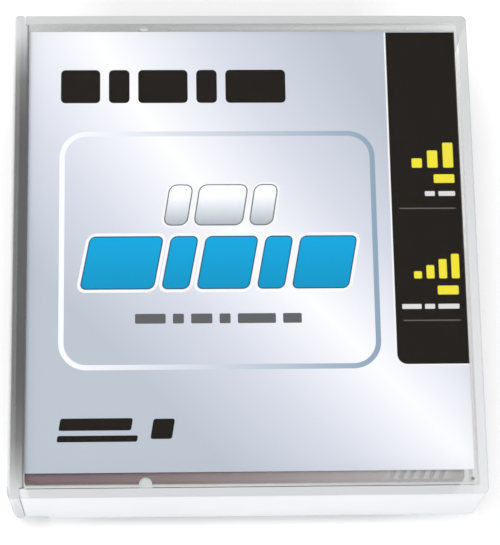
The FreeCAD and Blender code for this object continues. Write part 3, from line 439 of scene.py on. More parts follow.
def grip_pad(tree, x, y):
    """The shell's slanted pad of grips, with soft borders."""
    lean = calc(tree, "MULTIPLY", calc(tree, "SUBTRACT", y, SHELL_LOW.y), GRIP_LEAN)
    inward = calc(tree, "SUBTRACT", SHELL_HIGH.x, calc(tree, "SUBTRACT", x, lean))
    return times(
        tree,
        between(tree, inward, GRIP_PAD_IN, GRIP_PAD_IN - GRIP_FADE),
        between(tree, inward, GRIP_PAD_OUT - 1 * MM, GRIP_PAD_OUT + 1 * MM),
        between(tree, y, SHELL_LOW.y + GRIP_REACH, SHELL_LOW.y + GRIP_FADE),
    )


def shell_plastic(shade):
    """Burgundy shell plastic; the ridges between the grip grooves are coloured pale as painted light, and the
    grooves nearly black as painted shade.
    """
    ridge_light_cover, groove_shade_cover = 0.8, 0.9
    material, tree = new_material("shell_plastic")
    spot = position(tree)
    x, y, z = split(tree, spot)
    texture = noise(tree, spot, 0.25 * MM, 2.0)
    base = ramp(tree, texture, [(0.25, scaled(shade, 0.90)), (0.75, scaled(shade, 1.10))])
    pad = grip_pad(tree, x, y)
    ridge = times(tree, pad, above(tree, z, SHELL_HIGH.z - HAIR))
    behind_edge = between(tree, y, SHELL_LOW.y + 0.3 * MM, SHELL_LOW.y + SHELL_EDGE_R)
    groove_shade = times(
        tree, below(tree, z, SHELL_HIGH.z - HAIR), above(tree, z, SHELL_HIGH.z - GRIP_DEPTH), pad, behind_edge
    )
    # painted light: the grip ridges' tops are coloured pale
    base = blend(tree, times(tree, ridge, ridge_light_cover), base, GRIP_RIDGE_LIGHT)
    # painted shade: the grip grooves are coloured nearly black
    base = blend(tree, times(tree, groove_shade, groove_shade_cover), base, GRIP_GROOVE_SHADE)
    surface(
        tree, Base_Color=base, Roughness=varied(tree, 0.37, texture, 0.16), IOR=1.5,
        Specular_IOR_Level=0.25, Normal=bump(tree, texture, 0.012 * MM),
    )
    return material


def wall_shade(tree, settings, spot, y, rim, to_front):
    """Colour of the milky walls, greyer at the back and with a darker rim, both painted shade."""
    back_shade_share, front_rim_shade_share = 0.76, 0.88
    wall = tuple(settings.wall_colour)
    cloud = noise(tree, spot, 30 * MM, 2.0)
    base = ramp(tree, cloud, [(0.3, scaled(wall, 0.97)), (0.7, scaled(wall, 1.02))])
    # painted shade: the walls grey towards the back
    base = blend(tree, between(tree, y, WALL_FACE_Y - 3 * MM, CASE_HIGH.y), base, scaled(wall, back_shade_share))
    # painted shade on the rim's top: darkest at the back, lighter at the front
    painted_rim_shade = blend(tree, to_front, tuple(settings.back_rim_shade), scaled(wall, front_rim_shade_share))
    return blend(tree, rim, base, painted_rim_shade)


def wall_haze(tree, settings, x, z, rim, to_front):
    """Haze of the walls' outer faces: more at the front and along the wall, less on the right, none below."""
    edge_on_haze, right_cut = 0.40, 0.75
    haze = varied(tree, settings.wall_haze, to_front, settings.front_haze)
    haze = calc(tree, "ADD", haze, times(tree, facing_away(tree), edge_on_haze), clamp=True)
    right = above(tree, x, CASE_HIGH.x - HAIR)
    haze = times(tree, haze, above(tree, z, HAIR), outside(tree, times(tree, right, right_cut)))
    return most(tree, haze, times(tree, rim, settings.rim_haze))


def milky_walls(settings):
    """Milky clear polypropylene: hazier where it is seen along the wall, clearer on the inner faces."""
    material, tree = new_material("milky_walls")
    spot = position(tree)
    x, y, z = split(tree, spot)
    to_front = between(tree, y, CASE_HIGH.y, CASE_LOW.y)
    rim = above(tree, z, CASE_HIGH.z - RIM_BAND)
    inside = times(
        tree, below(tree, size_of(tree, y), WALL_FACE_Y + HAIR), below(tree, x, WALL_FACE_X + HAIR)
    )
    haze = switch(tree, inside, wall_haze(tree, settings, x, z, rim, to_front), settings.inner_haze)
    texture = noise(tree, spot, 0.5 * MM, 2.0)
    surface(
        tree, Base_Color=wall_shade(tree, settings, spot, y, rim, to_front), Roughness=0.22, IOR=1.49,
        Alpha=most(tree, haze, settings.inner_haze), Normal=bump(tree, texture, 0.004 * MM),
    )
    return material


def card_window(tree, x, y):
    """The part of the cover that lies over the card, with soft borders."""
    border = 0.3 * MM
    return times(
        tree,
        between(tree, x, CARD_LOW.x - border, CARD_LOW.x + border),
        between(tree, y, CARD_LOW.y - border, CARD_LOW.y + border),
        between(tree, x, CARD_HIGH.x + border, CARD_HIGH.x - border),
        between(tree, y, CARD_HIGH.y + border, CARD_HIGH.y - border),
    )


def margin_haze(tree, settings, x, y):
    """Haze of the cover outside the card: it grows to the right, and is thinner in a band in front of the
    card's front edge as a painted shadow of that edge.
    """
    card_shadow_share, card_shadow_width = 0.55, 1.3 * MM
    behind = above(tree, y, 0.0)
    rise = calc(tree, "POWER", between(tree, x, COVER_LOW.x, CASE_HIGH.x), 2.0)
    haze = varied(tree, settings.margin_haze, rise, settings.margin_rise)
    haze = calc(tree, "MINIMUM", haze, calc(tree, "ADD", settings.front_limit, behind))
    # painted shadow: less haze in front of the card's edge lets the dark shell show
    out_of_card_shadow = most(tree, between(tree, y, CARD_LOW.y, CARD_LOW.y - card_shadow_width), behind)
    return times(tree, haze, varied(tree, card_shadow_share, out_of_card_shadow, 1 - card_shadow_share))


def plate_edges(tree, x, y):
    """The plate's cut edges at the front, back and right, which stay clear."""
    out = size_of(tree, y)
    ends = times(tree, above(tree, out, PLATE_Y - HAIR), below(tree, out, PLATE_Y + HAIR))
    return most(tree, ends, above(tree, x, COVER_HIGH.x - HAIR))


def front_lip_highlight(tree, y, z):
    """The cover's front border past the shell, a painted highlight over the shade in the gap: strong on its
    underside and faint on top.
    """
    top_share = 0.2
    border = between(tree, y, SHELL_LOW.y - 0.1 * MM, SHELL_LOW.y - 0.7 * MM)
    return times(tree, border, varied(tree, top_share, below(tree, z, LIP_TOP), 1 - top_share))


def keeper_lugs(tree, x, z):
    """The lugs under the plate that keep the card."""
    aside = size_of(tree, calc(tree, "SUBTRACT", x, KEEPER_X))
    return times(
        tree,
        below(tree, aside, KEEPER_REACH),
        below(tree, z, CARD_FACE),
        above(tree, z, CARD_FACE - KEEPER_DEPTH),
    )


def painted_fold_shade(tree, x, y):
    """Painted shade for the dark strip at the card's fold seen through the spine: darkest in the middle and
    in the crease, where it is a painted shadow, and lighter towards the ends as painted light.
    """
    crease_shadow_cover = 0.8
    out = most(tree, y, calc(tree, "SUBTRACT", -FOLD_FRONT_SHIFT, y))
    tone = ramp(tree, between(tree, out, FOLD_DARK_TO, FOLD_LIGHT_FROM), FOLD_PAINTED_SHADE_TONES)
    # painted shadow in the crease
    crease = between(tree, x, FOLD_END - 0.7 * MM, FOLD_END - 0.3 * MM)
    return blend(tree, times(tree, crease, crease_shadow_cover), tone, CREASE_SHADOW)


def gate_dot(tree, x, y):
    """The small round moulding mark near the plate's front right corner."""
    across = calc(tree, "SUBTRACT", x, GATE_MARK.x)
    along = calc(tree, "POWER", calc(tree, "SUBTRACT", y, GATE_MARK.y), 2.0)
    return below(tree, calc(tree, "ADD", times(tree, across, across), along), GATE_MARK_R ** 2)


def cover_plastic(settings):
    """Clear plate over the card, with hazy margins and milky keepers; the spine's top carries painted shade
    for the dark fold seen through it, its end faces painted light, and the front lip a painted highlight.
    """
    glance_haze, tip_light_haze, dot_haze = 0.12, 0.7, 0.8
    material, tree = new_material("cover_plastic")
    spot = position(tree)
    x, y, z = split(tree, spot)
    top = above(tree, z, COVER_HIGH.z - 0.5 * MM)
    # painted shade: the spine's top takes the colour of the dark fold seen through it
    spine = times(
        tree,
        between(tree, x, COVER_LOW.x + 0.1 * MM, COVER_LOW.x + 0.8 * MM),
        between(tree, x, FOLD_END + HAIR, FOLD_END - HAIR),
        top,
    )
    # painted reflection on the spine's end faces, over the dark seen inside
    lit_tip = times(tree, above(tree, size_of(tree, y), COVER_HIGH.y - HAIR), outside(tree, top))
    dot = times(tree, gate_dot(tree, x, y), top)

    haze = switch(tree, card_window(tree, x, y), margin_haze(tree, settings, x, y), settings.window_haze)
    glance = times(tree, calc(tree, "POWER", facing_away(tree), 2.0), glance_haze)
    haze = calc(tree, "ADD", haze, glance, clamp=True)
    # painted highlight along the cover's front lip
    haze = most(tree, haze, times(tree, front_lip_highlight(tree, y, z), settings.lip_highlight_haze))
    haze = times(tree, haze, outside(tree, plate_edges(tree, x, y)))
    lugs = times(tree, keeper_lugs(tree, x, z), settings.keeper_haze)
    haze = most(tree, haze, lugs, times(tree, lit_tip, tip_light_haze))
    haze = most(tree, switch(tree, spine, haze, settings.spine_shade), times(tree, dot, dot_haze))

    shade = blend(tree, spine, tuple(settings.cover_colour), painted_fold_shade(tree, x, y))
    shade = blend(tree, lit_tip, shade, SPINE_TIP_LIGHT)
    shade = blend(tree, dot, shade, GATE_GREY)
    scuffs = noise(tree, spot, 0.4 * MM, 3.0, (1.0, 0.08, 1.0))
    surface(tree, Base_Color=shade, Roughness=varied(tree, 0.05, scuffs, 0.10), IOR=1.49, Alpha=haze)
    return material


def painted_card_sheen(tree, x, y, grain):
    """How far a point of the card's face is from the painted bright ridge: 0 on it, 1 where the painted sheen
    ends.
    """
    speckle_swing = 0.06
    across = calc(tree, "SUBTRACT", x, CARD_MIDDLE.x + SHEEN_OFFSET)
    from_middle = calc(tree, "SUBTRACT", y, CARD_MIDDLE.y)
    behind = most(tree, from_middle, 0.0)
    bend = times(tree, behind, behind, SHEEN_BEND)
    along = times(tree, from_middle, SHEEN_SLOPE)
    from_ridge = size_of(tree, calc(tree, "SUBTRACT", calc(tree, "ADD", across, along), bend))
    speckle = times(tree, calc(tree, "SUBTRACT", grain, 0.5), speckle_swing)
    return calc(tree, "ADD", between(tree, from_ridge, 0.0, SHEEN_REACH), speckle, clamp=True)


def card_stock(settings):
    """Coated card: a painted silver sheen on its face, a dark strip at the fold that grows lighter towards
    its ends as painted light, plain white behind.
    """
    material, tree = new_material("card_stock")
    spot = position(tree)
    x, y, z = split(tree, spot)
    grain = noise(tree, spot, 0.18 * MM, 2.0)
    stops = [(0.0, settings.light_silver), (0.5, settings.middle_silver), (1.0, settings.dark_silver)]
    silver = ramp(tree, painted_card_sheen(tree, x, y, grain), [(place, tuple(shade)) for place, shade in stops])
    end = size_of(tree, calc(tree, "SUBTRACT", y, CARD_MIDDLE.y))
    # dark strip at the fold, lighter towards its ends as painted light
    strip = ramp(tree, between(tree, end, FOLD_INK_DARK_TO, FOLD_INK_LIGHT_FROM), FOLD_INK_AND_LIGHT_TONES)
    printed = blend(tree, below(tree, x, FOLD_END), silver, strip)
    hidden = times(tree, below(tree, z, CARD_FACE - 0.25 * MM), above(tree, x, CARD_LOW.x + 0.2 * MM))
    surface(
        tree, Base_Color=blend(tree, hidden, printed, CARD_BACK), Roughness=0.38, IOR=1.45,
        Specular_IOR_Level=0.15, Normal=bump(tree, grain, 0.003 * MM),
    )
    return material


def ink(name, shade, rough=0.4, metal=0.0, end_shade=None, along=(1, 0, 0), span=(0.0, 1.0)):
    """Printing ink with a fine screen grain; with an end shade its colour runs along one direction."""
    material, tree = new_material(name)
    spot = position(tree)
    grain = noise(tree, spot, 0.22 * MM, 2.0)
    speckle = times(tree, calc(tree, "SUBTRACT", grain, 0.5), 0.16)
    if end_shade is None:
        factor = calc(tree, "ADD", 0.5, speckle, clamp=True)
        base = ramp(tree, factor, [(0.0, scaled(shade, 0.86)), (1.0, scaled(shade, 1.14))])
    else:
        run = node(tree, "ShaderNodeVectorMath", {0: spot, 1: along}, operation="DOT_PRODUCT")
        way = between(tree, run.outputs["Value"], *span)
        factor = calc(tree, "ADD", way, times(tree, speckle, 0.4), clamp=True)
        base = ramp(tree, factor, [(0.0, shade), (1.0, end_shade)])
    surface(tree, Base_Color=base, Roughness=rough, IOR=1.45, Specular_IOR_Level=0.05, Metallic=metal)
    return material


def steel(name, shade, rough, stretch=(1, 1, 1)):
    """Metal with drawn or ground marks."""
    material, tree = new_material(name)
    marks = noise(tree, position(tree), 0.15 * MM, 3.0, stretch)
    base = ramp(tree, marks, [(0.3, scaled(shade, 0.9)), (0.7, scaled(shade, 1.06))])
    roughness = varied(tree, rough - 0.05, marks, 0.12)
    surface(tree, Base_Color=base, Metallic=1.0, Roughness=roughness, Normal=bump(tree, marks, 0.002 * MM))
    return material


def wound_film(shade):
    """Edge of the wound tape: fine rings about the reel's axis."""
    rings_per_metre = 3200.0
    material, tree = new_material("wound_film")
    to_axis = {"Vector": position(tree), "Location": (-REEL_AXIS.x, -REEL_AXIS.y, 0.0)}
    centred = node(tree, "ShaderNodeMapping", to_axis).outputs[0]
    flat = node(tree, "ShaderNodeVectorMath", {0: centred, 1: (1, 1, 0)}, operation="MULTIPLY").outputs[0]
    radius = node(tree, "ShaderNodeVectorMath", {0: flat}, operation="LENGTH").outputs["Value"]
    rings = node(
        tree, "ShaderNodeTexNoise", {"W": times(tree, radius, rings_per_metre), "Detail": 3.0},
        noise_dimensions="1D",
    ).outputs["Fac"]
    base = ramp(tree, rings, [(0.3, scaled(shade, 0.7)), (0.75, scaled(shade, 1.7))])
    roughness = varied(tree, 0.22, rings, 0.18)
    surface(tree, Base_Color=base, Roughness=roughness, IOR=1.55, Normal=bump(tree, rings, 0.01 * MM))
    return material


def chip_board():
    """Green epoxy board with copper windings under the resist."""
    tracks_scale = 900.0
    material, tree = new_material("chip_board")
    tracks = node(
        tree, "ShaderNodeTexWave", {"Vector": position(tree), "Scale": tracks_scale, "Distortion": 0.0},
        wave_type="BANDS", bands_direction="Z",
    ).outputs["Fac"]
    base = ramp(tree, tracks, [(0.55, BOARD_GREEN), (0.75, BOARD_COPPER)])
    surface(tree, Base_Color=base, Roughness=0.3, IOR=1.55, Normal=bump(tree, tracks, 0.01 * MM))
    return material


# ---- shapes
def flat_shape(bm, x, y, radius=0.0, steps=6, rounded=4):
    """Face between the given ends in x and y, in metres, with some or all of its corners rounded.

    The rounded ones are counted from the front left and against the clock.
    """
    (left, right), (front, back) = x, y
    places = ((left, front), (right, front), (right, back), (left, back))
    corners = [bm.verts.new((*place, 0.0)) for place in places]
    bm.faces.new(corners)
    if radius > 0:
        bmesh.ops.bevel(
            bm, geom=corners[:rounded], offset=radius, offset_type="OFFSET", segments=steps, profile=0.5,
            affect="VERTICES", material=-1,
        )


def slab(bm, bottom, top):
    """Turn every flat face into a closed slab between two heights."""
    bmesh.ops.translate(bm, verts=bm.verts[:], vec=(0, 0, bottom))
    flat = bm.faces[:]
    bmesh.ops.recalc_face_normals(bm, faces=flat)
    made = bmesh.ops.extrude_face_region(bm, geom=flat, use_keep_orig=True)
    lifted = [v for v in made["geom"] if isinstance(v, bmesh.types.BMVert)]
    bmesh.ops.translate(bm, verts=lifted, vec=(0, 0, top - bottom))
    bmesh.ops.recalc_face_normals(bm, faces=bm.faces[:])


def shear(bm, slope, level):
    """Lean the outline to the right by a slope, about a level in y."""
    lean = Matrix(((1, slope, 0, -slope * level), (0, 1, 0, 0), (0, 0, 1, 0), (0, 0, 0, 1)))
    bmesh.ops.transform(bm, matrix=lean, verts=bm.verts[:])


def on_card(ends, middle):
    """Ends given in mm from the middle of the card, in metres."""
    return [middle + end * MM for end in ends]


def ink_piece(name, shapes, layer, material, lean=0.0, level=0.0, rounded=4):
    """Printed shapes as one thin piece on the card, lower or higher by its layer.

    A shape is (x ends, y ends, corner radius), in mm about the middle of the card's face. With a lean
    the outlines slant to the right, about a level in y.
    """
    step = bpy.context.scene.card_print.ink_step
    bm = bmesh.new()
    for x, y, radius in shapes:
        flat_shape(bm, on_card(x, CARD_MIDDLE.x), on_card(y, CARD_MIDDLE.y), radius * MM, rounded=rounded)
    if lean:
        shear(bm, lean, CARD_MIDDLE.y + level * MM)
    slab(bm, CARD_FACE, CARD_FACE + layer * step)
    print_on_card(name, bm, material)


def new_piece(name, bm, material):
    """An object with its finish, made from the mesh."""
    mesh = bpy.data.meshes.new(name)
    bm.to_mesh(mesh)
    bm.free()
    piece = bpy.data.objects.new(name, mesh)
    bpy.context.scene.collection.objects.link(piece)
    mesh.materials.append(material)
    return piece


def print_on_card(name, bm, material):
    """A piece of print, which rides on the cover with the card."""
    piece = new_piece(name, bm, material)
    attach(piece, "cover")


def coil(name, node_name, axis, radius, wire_r, turns, material):
    """Wire wound round an axis through the middle of the CAD spring, given back with that spring's box."""
    low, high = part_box(node_name)
    rise = (high - low).dot(axis) - 2 * wire_r
    start = (low + high) / 2 - axis * rise / 2
    out = Vector((1, 0, 0))
    steps = turns * COIL_STEPS
    bm = bmesh.new()
    section = Matrix((out, axis, out.cross(axis))).transposed().to_4x4()
    bmesh.ops.create_circle(bm, radius=wire_r, segments=WIRE_SIDES, matrix=section)
    bmesh.ops.translate(bm, verts=bm.verts[:], vec=start + out * radius)
    bmesh.ops.spin(
        bm, geom=bm.verts[:] + bm.edges[:], cent=start, axis=axis, dvec=axis * rise / steps,
        angle=2 * math.pi * turns, steps=steps,
    )
    bmesh.ops.holes_fill(bm, edges=[e for e in bm.edges if e.is_boundary])
    bmesh.ops.recalc_face_normals(bm, faces=bm.faces[:])
    for face in bm.faces:
        face.smooth = len(face.verts) < WIRE_SIDES
    piece = new_piece(name, bm, material)
    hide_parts(node_name)
    return piece, low, high


def row(start, widths, gap):
    """Ends in x of blocks set side by side."""
    ends = []
    for width in widths:
        ends.append((start, start + width))
        start += width + gap
    return ends


def block_row(left, widths, gap, height, corner):
    """Shapes of blocks set side by side, all of one height."""
    return [(ends, height, corner) for ends in row(left, widths, gap)]


def level_row(left, width, gap, foot, rises):
    """Shapes of equally wide bars that rise from one foot line."""
    bars = row(left, [width] * len(rises), gap)
    return [(ends, (foot, foot + rise), LEVEL_CORNER) for ends, rise in zip(bars, rises)]


def grown(shapes, by):
    """The same shapes, larger all round, for an outline under them."""
    return [((x[0] - by, x[1] + by), (y[0] - by, y[1] + by), radius + by) for x, y, radius in shapes]


# ---- operators
class LIBRARYCASE_OT_case(bpy.types.Operator):
    """Give the tray and the cover their clear and milky plastics"""

    bl_idname = "library_case.case"
    bl_label = "Case plastics"

    def execute(self, context):
        settings = context.scene.case_plastic
        dress("case_base", milky_walls(settings))
        dress("case_cover", cover_plastic(settings))
        return {"FINISHED"}


class LIBRARYCASE_OT_card(bpy.types.Operator):
    """Give the card its silver face, dark fold and white back"""

    bl_idname = "library_case.card"
    bl_label = "Card stock"

    def execute(self, context):
        dress("insert_card", card_stock(context.scene.card_print))
        return {"FINISHED"}


class LIBRARYCASE_OT_side_band(bpy.types.Operator):
    """Print the black band at the card's right edge, with its light margin"""

    bl_idname = "library_case.side_band"
    bl_label = "Side band"

    def execute(self, context):
        settings = context.scene.card_print
        border, corner, below_edge = 0.4, 2.4, 0.3
        right = (CARD_HIGH.x - CARD_MIDDLE.x) / MM
        back = (CARD_HIGH.y - CARD_MIDDLE.y) / MM - below_edge
        left = right - settings.band_width / MM
        front = back - settings.band_length / MM
        white = ink("margin_white", PAPER_WHITE)
        black = ink("band_black", tuple(settings.black), rough=0.3)
        margin = ((left - border, right), (front - border, back), corner + border)
        ink_piece("band_margin", [margin], 1, white, rounded=1)
        ink_piece("band_black", [((left, right), (front, back), corner)], 2, black, rounded=1)
        return {"FINISHED"}


class LIBRARYCASE_OT_frame_line(bpy.types.Operator):
    """Print the rounded frame line, white at its left end and steel blue at its right"""

    bl_idname = "library_case.frame_line"
    bl_label = "Frame line"

    def execute(self, context):
        settings = context.scene.card_print
        x = on_card((-43.4, 32.5), CARD_MIDDLE.x)
        y = on_card((-30.5, 28.85), CARD_MIDDLE.y)
        corner, corner_steps = 6.6 * MM, 10
        finish = ink("frame_ink", (0.93, 0.95, 0.99), end_shade=tuple(settings.steel_blue), span=x)
        bm = bmesh.new()
        flat_shape(bm, x, y, corner, corner_steps)
        bmesh.ops.inset_region(bm, faces=bm.faces[:], thickness=settings.frame_line, use_boundary=True)
        inner = max(bm.faces, key=lambda face: face.calc_area())
        bmesh.ops.delete(bm, geom=[inner], context="FACES")
        slab(bm, CARD_FACE, CARD_FACE + settings.ink_step)
        print_on_card("frame_line", bm, finish)
        return {"FINISHED"}


class LIBRARYCASE_OT_title(bpy.types.Operator):
    """Print the row of dark blocks at the back of the card"""

    bl_idname = "library_case.title"
    bl_label = "Title blocks"

    def execute(self, context):
        black = ink("title_black", tuple(context.scene.card_print.black), rough=0.35)
        widths = (9.5, 5.0, 12.0, 5.0, 14.6)
        blocks = block_row(-43.2, widths, gap=2.1, height=(36.2, 44.8), corner=1.1)
        ink_piece("title_blocks", blocks, 1, black)
        return {"FINISHED"}


class LIBRARYCASE_OT_silver_mark(bpy.types.Operator):
    """Print the metallic blocks behind the middle"""

    bl_idname = "library_case.silver_mark"
    bl_label = "Silver blocks"

    def execute(self, context):
        height = (5.2, 15.0)
        slant = {"lean": 0.16, "level": 10.0}
        blocks = block_row(-17.6, widths=(5.2, 11.2, 5.2), gap=2.0, height=height, corner=1.6)
        silver = ink(
            "silver_ink", (0.28, 0.31, 0.34), rough=0.28, metal=0.35, end_shade=(0.74, 0.77, 0.80),
            along=(0, 1, 0), span=on_card(height, CARD_MIDDLE.y),
        )
        ink_piece("silver_halo", grown(blocks, 0.8), 1, ink("silver_halo", PAPER_WHITE), **slant)
        ink_piece("silver_edge", grown(blocks, 0.3), 2, ink("silver_edge", (0.16, 0.18, 0.20)), **slant)
        ink_piece("silver_blocks", blocks, 3, silver, **slant)
        return {"FINISHED"}


class LIBRARYCASE_OT_cyan_mark(bpy.types.Operator):
    """Print the large slanted cyan blocks with their dark edge and white halo"""

    bl_idname = "library_case.cyan_mark"
    bl_label = "Cyan blocks"

    def execute(self, context):
        cyan = context.scene.card_print.cyan
        height = (-10.6, 2.0)
        slant = {"lean": 0.19, "level": -4.3}
        blocks = block_row(-37.0, widths=(17.0, 6.0, 12.0, 6.0, 13.0), gap=2.3, height=height, corner=1.2)
        fill = ink(
            "cyan_ink", scaled(cyan, 0.9), end_shade=scaled(cyan, 1.15),
            along=(0, 1, 0), span=on_card(height, CARD_MIDDLE.y),
        )
        ink_piece("cyan_halo", grown(blocks, 1.05), 1, ink("cyan_halo", (0.95, 0.96, 0.98)), **slant)
        ink_piece("cyan_edge", grown(blocks, 0.3), 2, ink("cyan_edge", (0.020, 0.10, 0.20)), **slant)
        ink_piece("cyan_blocks", blocks, 3, fill, **slant)
        return {"FINISHED"}


class LIBRARYCASE_OT_caption(bpy.types.Operator):
    """Print the row of small grey dashes in front of the large blocks"""

    bl_idname = "library_case.caption"
    bl_label = "Grey dashes"

    def execute(self, context):
        widths = (7.2, 2.6, 5.0, 2.6, 9.0, 4.4)
        dashes = block_row(-25.4, widths, gap=1.7, height=(-19.3, -16.9), corner=0.3)
        ink_piece("grey_dashes", dashes, 1, ink("caption_grey", (0.12, 0.12, 0.13)))
        return {"FINISHED"}


class LIBRARYCASE_OT_corner_mark(bpy.types.Operator):
    """Print the small dark bar, rule and block at the front left"""

    bl_idname = "library_case.corner_mark"
    bl_label = "Corner blocks"

    def execute(self, context):
        black = ink("corner_black", tuple(context.scene.card_print.black), rough=0.35)
        bar = ((-43.2, -26.4), (-44.9, -42.0), 0.5)
        rule = ((-43.2, -24.6), (-47.6, -46.1), 0.4)
        block = ((-21.6, -16.6), (-47.0, -42.2), 0.6)
        ink_piece("corner_blocks", [bar, rule, block], 1, black, lean=0.16, level=-45.0)
        return {"FINISHED"}


class LIBRARYCASE_OT_levels(bpy.types.Operator):
    """Print the yellow level bars, white dashes and grey rules on the band"""

    bl_idname = "library_case.levels"
    bl_label = "Level bars"

    def execute(self, context):
        settings = context.scene.card_print
        bars = level_row(41.4, width=2.5, gap=1.3, foot=19.3, rises=(2.4, 4.4, 6.4))
        bars += level_row(40.9, width=1.9, gap=1.1, foot=-8.6, rises=(1.8, 3.3, 4.8, 6.1))
        bars += [((46.6, 51.6), (15.4, 17.6), LEVEL_CORNER), ((46.4, 51.4), (-12.6, -10.4), LEVEL_CORNER)]
        dashes = block_row(44.3, widths=(2.4, 4.0), gap=0.9, height=(12.1, 13.3), corner=0.2)
        dashes += block_row(37.8, widths=(4.6, 2.4, 5.0), gap=0.8, height=(-16.1, -14.9), corner=0.2)
        rules = [((38.0, 51.5), height, 0.0) for height in ((8.85, 9.1), (-19.05, -18.8))]
        ink_piece("level_bars", bars, 3, ink("level_yellow", tuple(settings.yellow)))
        ink_piece("level_dashes", dashes, 3, ink("level_white", (0.72, 0.72, 0.72)))
        ink_piece("level_rules", rules, 3, ink("rule_grey", (0.16, 0.16, 0.16)))
        return {"FINISHED"}


class LIBRARYCASE_OT_shell(bpy.types.Operator):
    """Give the cartridge's outer pieces their plastics and metals"""

    bl_idname = "library_case.shell"
    bl_label = "Cartridge shell"

    def execute(self, context):
        settings = context.scene.cartridge
        shell = shell_plastic(tuple(settings.shell))
        dress("upper_shell", shell)
        dress("lower_shell", shell)
        dress("access_door", moulded_plastic("door_plastic", tuple(settings.door), rough=0.35))
        dress("write_protect_tab", moulded_plastic("tab_plastic", tuple(settings.tab), rough=0.4))
        dress("memory_chip", chip_board())
        dress("shell_screws", steel("screw_steel", SCREW_STEEL, 0.35))
        return {"FINISHED"}


class LIBRARYCASE_OT_reel(bpy.types.Operator):
    """Give the reel, brake and leader their finishes"""

    bl_idname = "library_case.reel"
    bl_label = "Reel and brake"

    def execute(self, context):
        film = wound_film(tuple(context.scene.cartridge.film))
        natural = moulded_plastic("reel_plastic", NATURAL_PLASTIC, grain=0.5 * MM, rough=0.5, variation=0.04)
        finishes = {
            "reel_hub": natural,
            "reel_upper_flange": natural,
            "tape_pack": film,
            "leader_tape": film,
            "drive_plate": steel("plate_steel", PLATE_STEEL, 0.38, (1.0, 0.05, 1.0)),
            "brake_button": moulded_plastic("brake_plastic", BRAKE_GREY, rough=0.42),
            "release_plate": moulded_plastic("release_plastic", WHITE_ACETAL, rough=0.4, variation=0.04),
            "leader_pin": steel("pin_steel", PIN_STEEL, 0.18, (1.0, 1.0, 8.0)),
            "pin_clamp": moulded_plastic("clamp_plastic", CLAMP_WHITE, rough=0.4, variation=0.04),
        }
        for name, material in finishes.items():
            dress(name, material)
        return {"FINISHED"}


class LIBRARYCASE_OT_springs(bpy.types.Operator):
    """Wind the two coil springs in place of their CAD solids"""

    bl_idname = "library_case.springs"
    bl_label = "Springs"

    def execute(self, context):
        wire = steel("spring_wire", SPRING_STEEL, 0.25)
        dress("leader_pin_spring", wire)
        up, back = Vector((0, 0, 1)), Vector((0, 1, 0))
        piece, low, high = coil(
            "brake_coil", "brake_spring", up, BRAKE_COIL_R, BRAKE_WIRE_R, BRAKE_TURNS, wire
        )
        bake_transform(piece)
        piece, low, high = coil("door_coil", "door_spring", back, DOOR_COIL_R, DOOR_WIRE_R, DOOR_TURNS, wire)
        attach(piece, "case_and_shell")
        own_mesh(piece)
        return {"FINISHED"}


class LIBRARYCASE_OT_stage(bpy.types.Operator):
    """Set the pale floor, the soft lamps and the camera"""

    bl_idname = "library_case.stage"
    bl_label = "Stage"

    def execute(self, context):
        settings = context.scene.studio
        make_floor(settings)
        make_world(settings)
        make_lamp("lamp_top", LAMP_TOP_PLACE, LAMP_TOP_SIZE, settings.lamp_level)
        make_lamp("lamp_front", LAMP_FRONT_PLACE, LAMP_FRONT_SIZE, settings.lamp_level * LAMP_FRONT_SHARE)
        make_camera(settings)
        context.scene.view_settings.view_transform = "Standard"
        return {"FINISHED"}


def near_case(tree, x, y):
    """The floor below the case and for a little way behind it, with soft borders."""
    return times(
        tree,
        between(tree, y, CASE_LOW.y - 2.2 * MM, CASE_LOW.y - 0.4 * MM),
        between(tree, size_of(tree, x), CASE_HIGH.x, CASE_HIGH.x - 25 * MM),
        between(tree, y, CASE_HIGH.y + 40 * MM, CASE_HIGH.y + 8 * MM),
    )


def pale_floor(settings):
    """Even pale floor; the camera sees it a little lighter, except near the case."""
    material, tree = new_material("pale_floor")
    spot = position(tree)
    x, y, _ = split(tree, spot)
    shade = tuple(settings.floor_colour)
    paper = noise(tree, spot, 60 * MM, 2.0)
    base = ramp(tree, paper, [(0.2, scaled(shade, 0.995)), (0.8, scaled(shade, 1.005))])
    seen = node(tree, "ShaderNodeLightPath").outputs["Is Camera Ray"]
    lift = times(tree, seen, outside(tree, near_case(tree, x, y)), settings.floor_lift)
    surface(
        tree, Base_Color=base, Roughness=0.9, IOR=1.3, Emission_Color=(1, 1, 1, 1), Emission_Strength=lift
    )
    return material


def make_floor(settings):
    """A wide pale floor just under the case."""
    bm = bmesh.new()
    bmesh.ops.create_grid(bm, x_segments=1, y_segments=1, size=FLOOR_HALF)
    bmesh.ops.translate(bm, verts=bm.verts[:], vec=(0, 0, -FLOOR_DROP))
    floor = new_piece("floor", bm, pale_floor(settings))


def make_world(settings):
    """Even light from all round; the camera and reflections see plain white."""
    world = bpy.data.worlds.new("studio_world")
    world.use_nodes = True
    tree = world.node_tree
    tree.nodes.clear()
    path = node(tree, "ShaderNodeLightPath")
    rays = ("Is Camera Ray", "Is Glossy Ray", "Is Transmission Ray")
    seen = most(tree, *(path.outputs[ray] for ray in rays))
    strength = varied(tree, settings.world_level, seen, 1.0 - settings.world_level)
    background = node(tree, "ShaderNodeBackground", {"Color": (1, 1, 1, 1), "Strength": strength})
    output = node(tree, "ShaderNodeOutputWorld")
    tree.links.new(background.outputs[0], output.inputs["Surface"])
    bpy.context.scene.world = world


def make_lamp(name, place, size, power):
    """A large soft lamp that points at the object."""
    light = bpy.data.lights.new(name, "AREA")
    light.shape = "SQUARE"
    light.size = size
    light.energy = power
    lamp = bpy.data.objects.new(name, light)
    lamp.location = place
    lamp.rotation_euler = (-Vector(place)).to_track_quat("-Z", "Y").to_euler()
    bpy.context.scene.collection.objects.link(lamp)


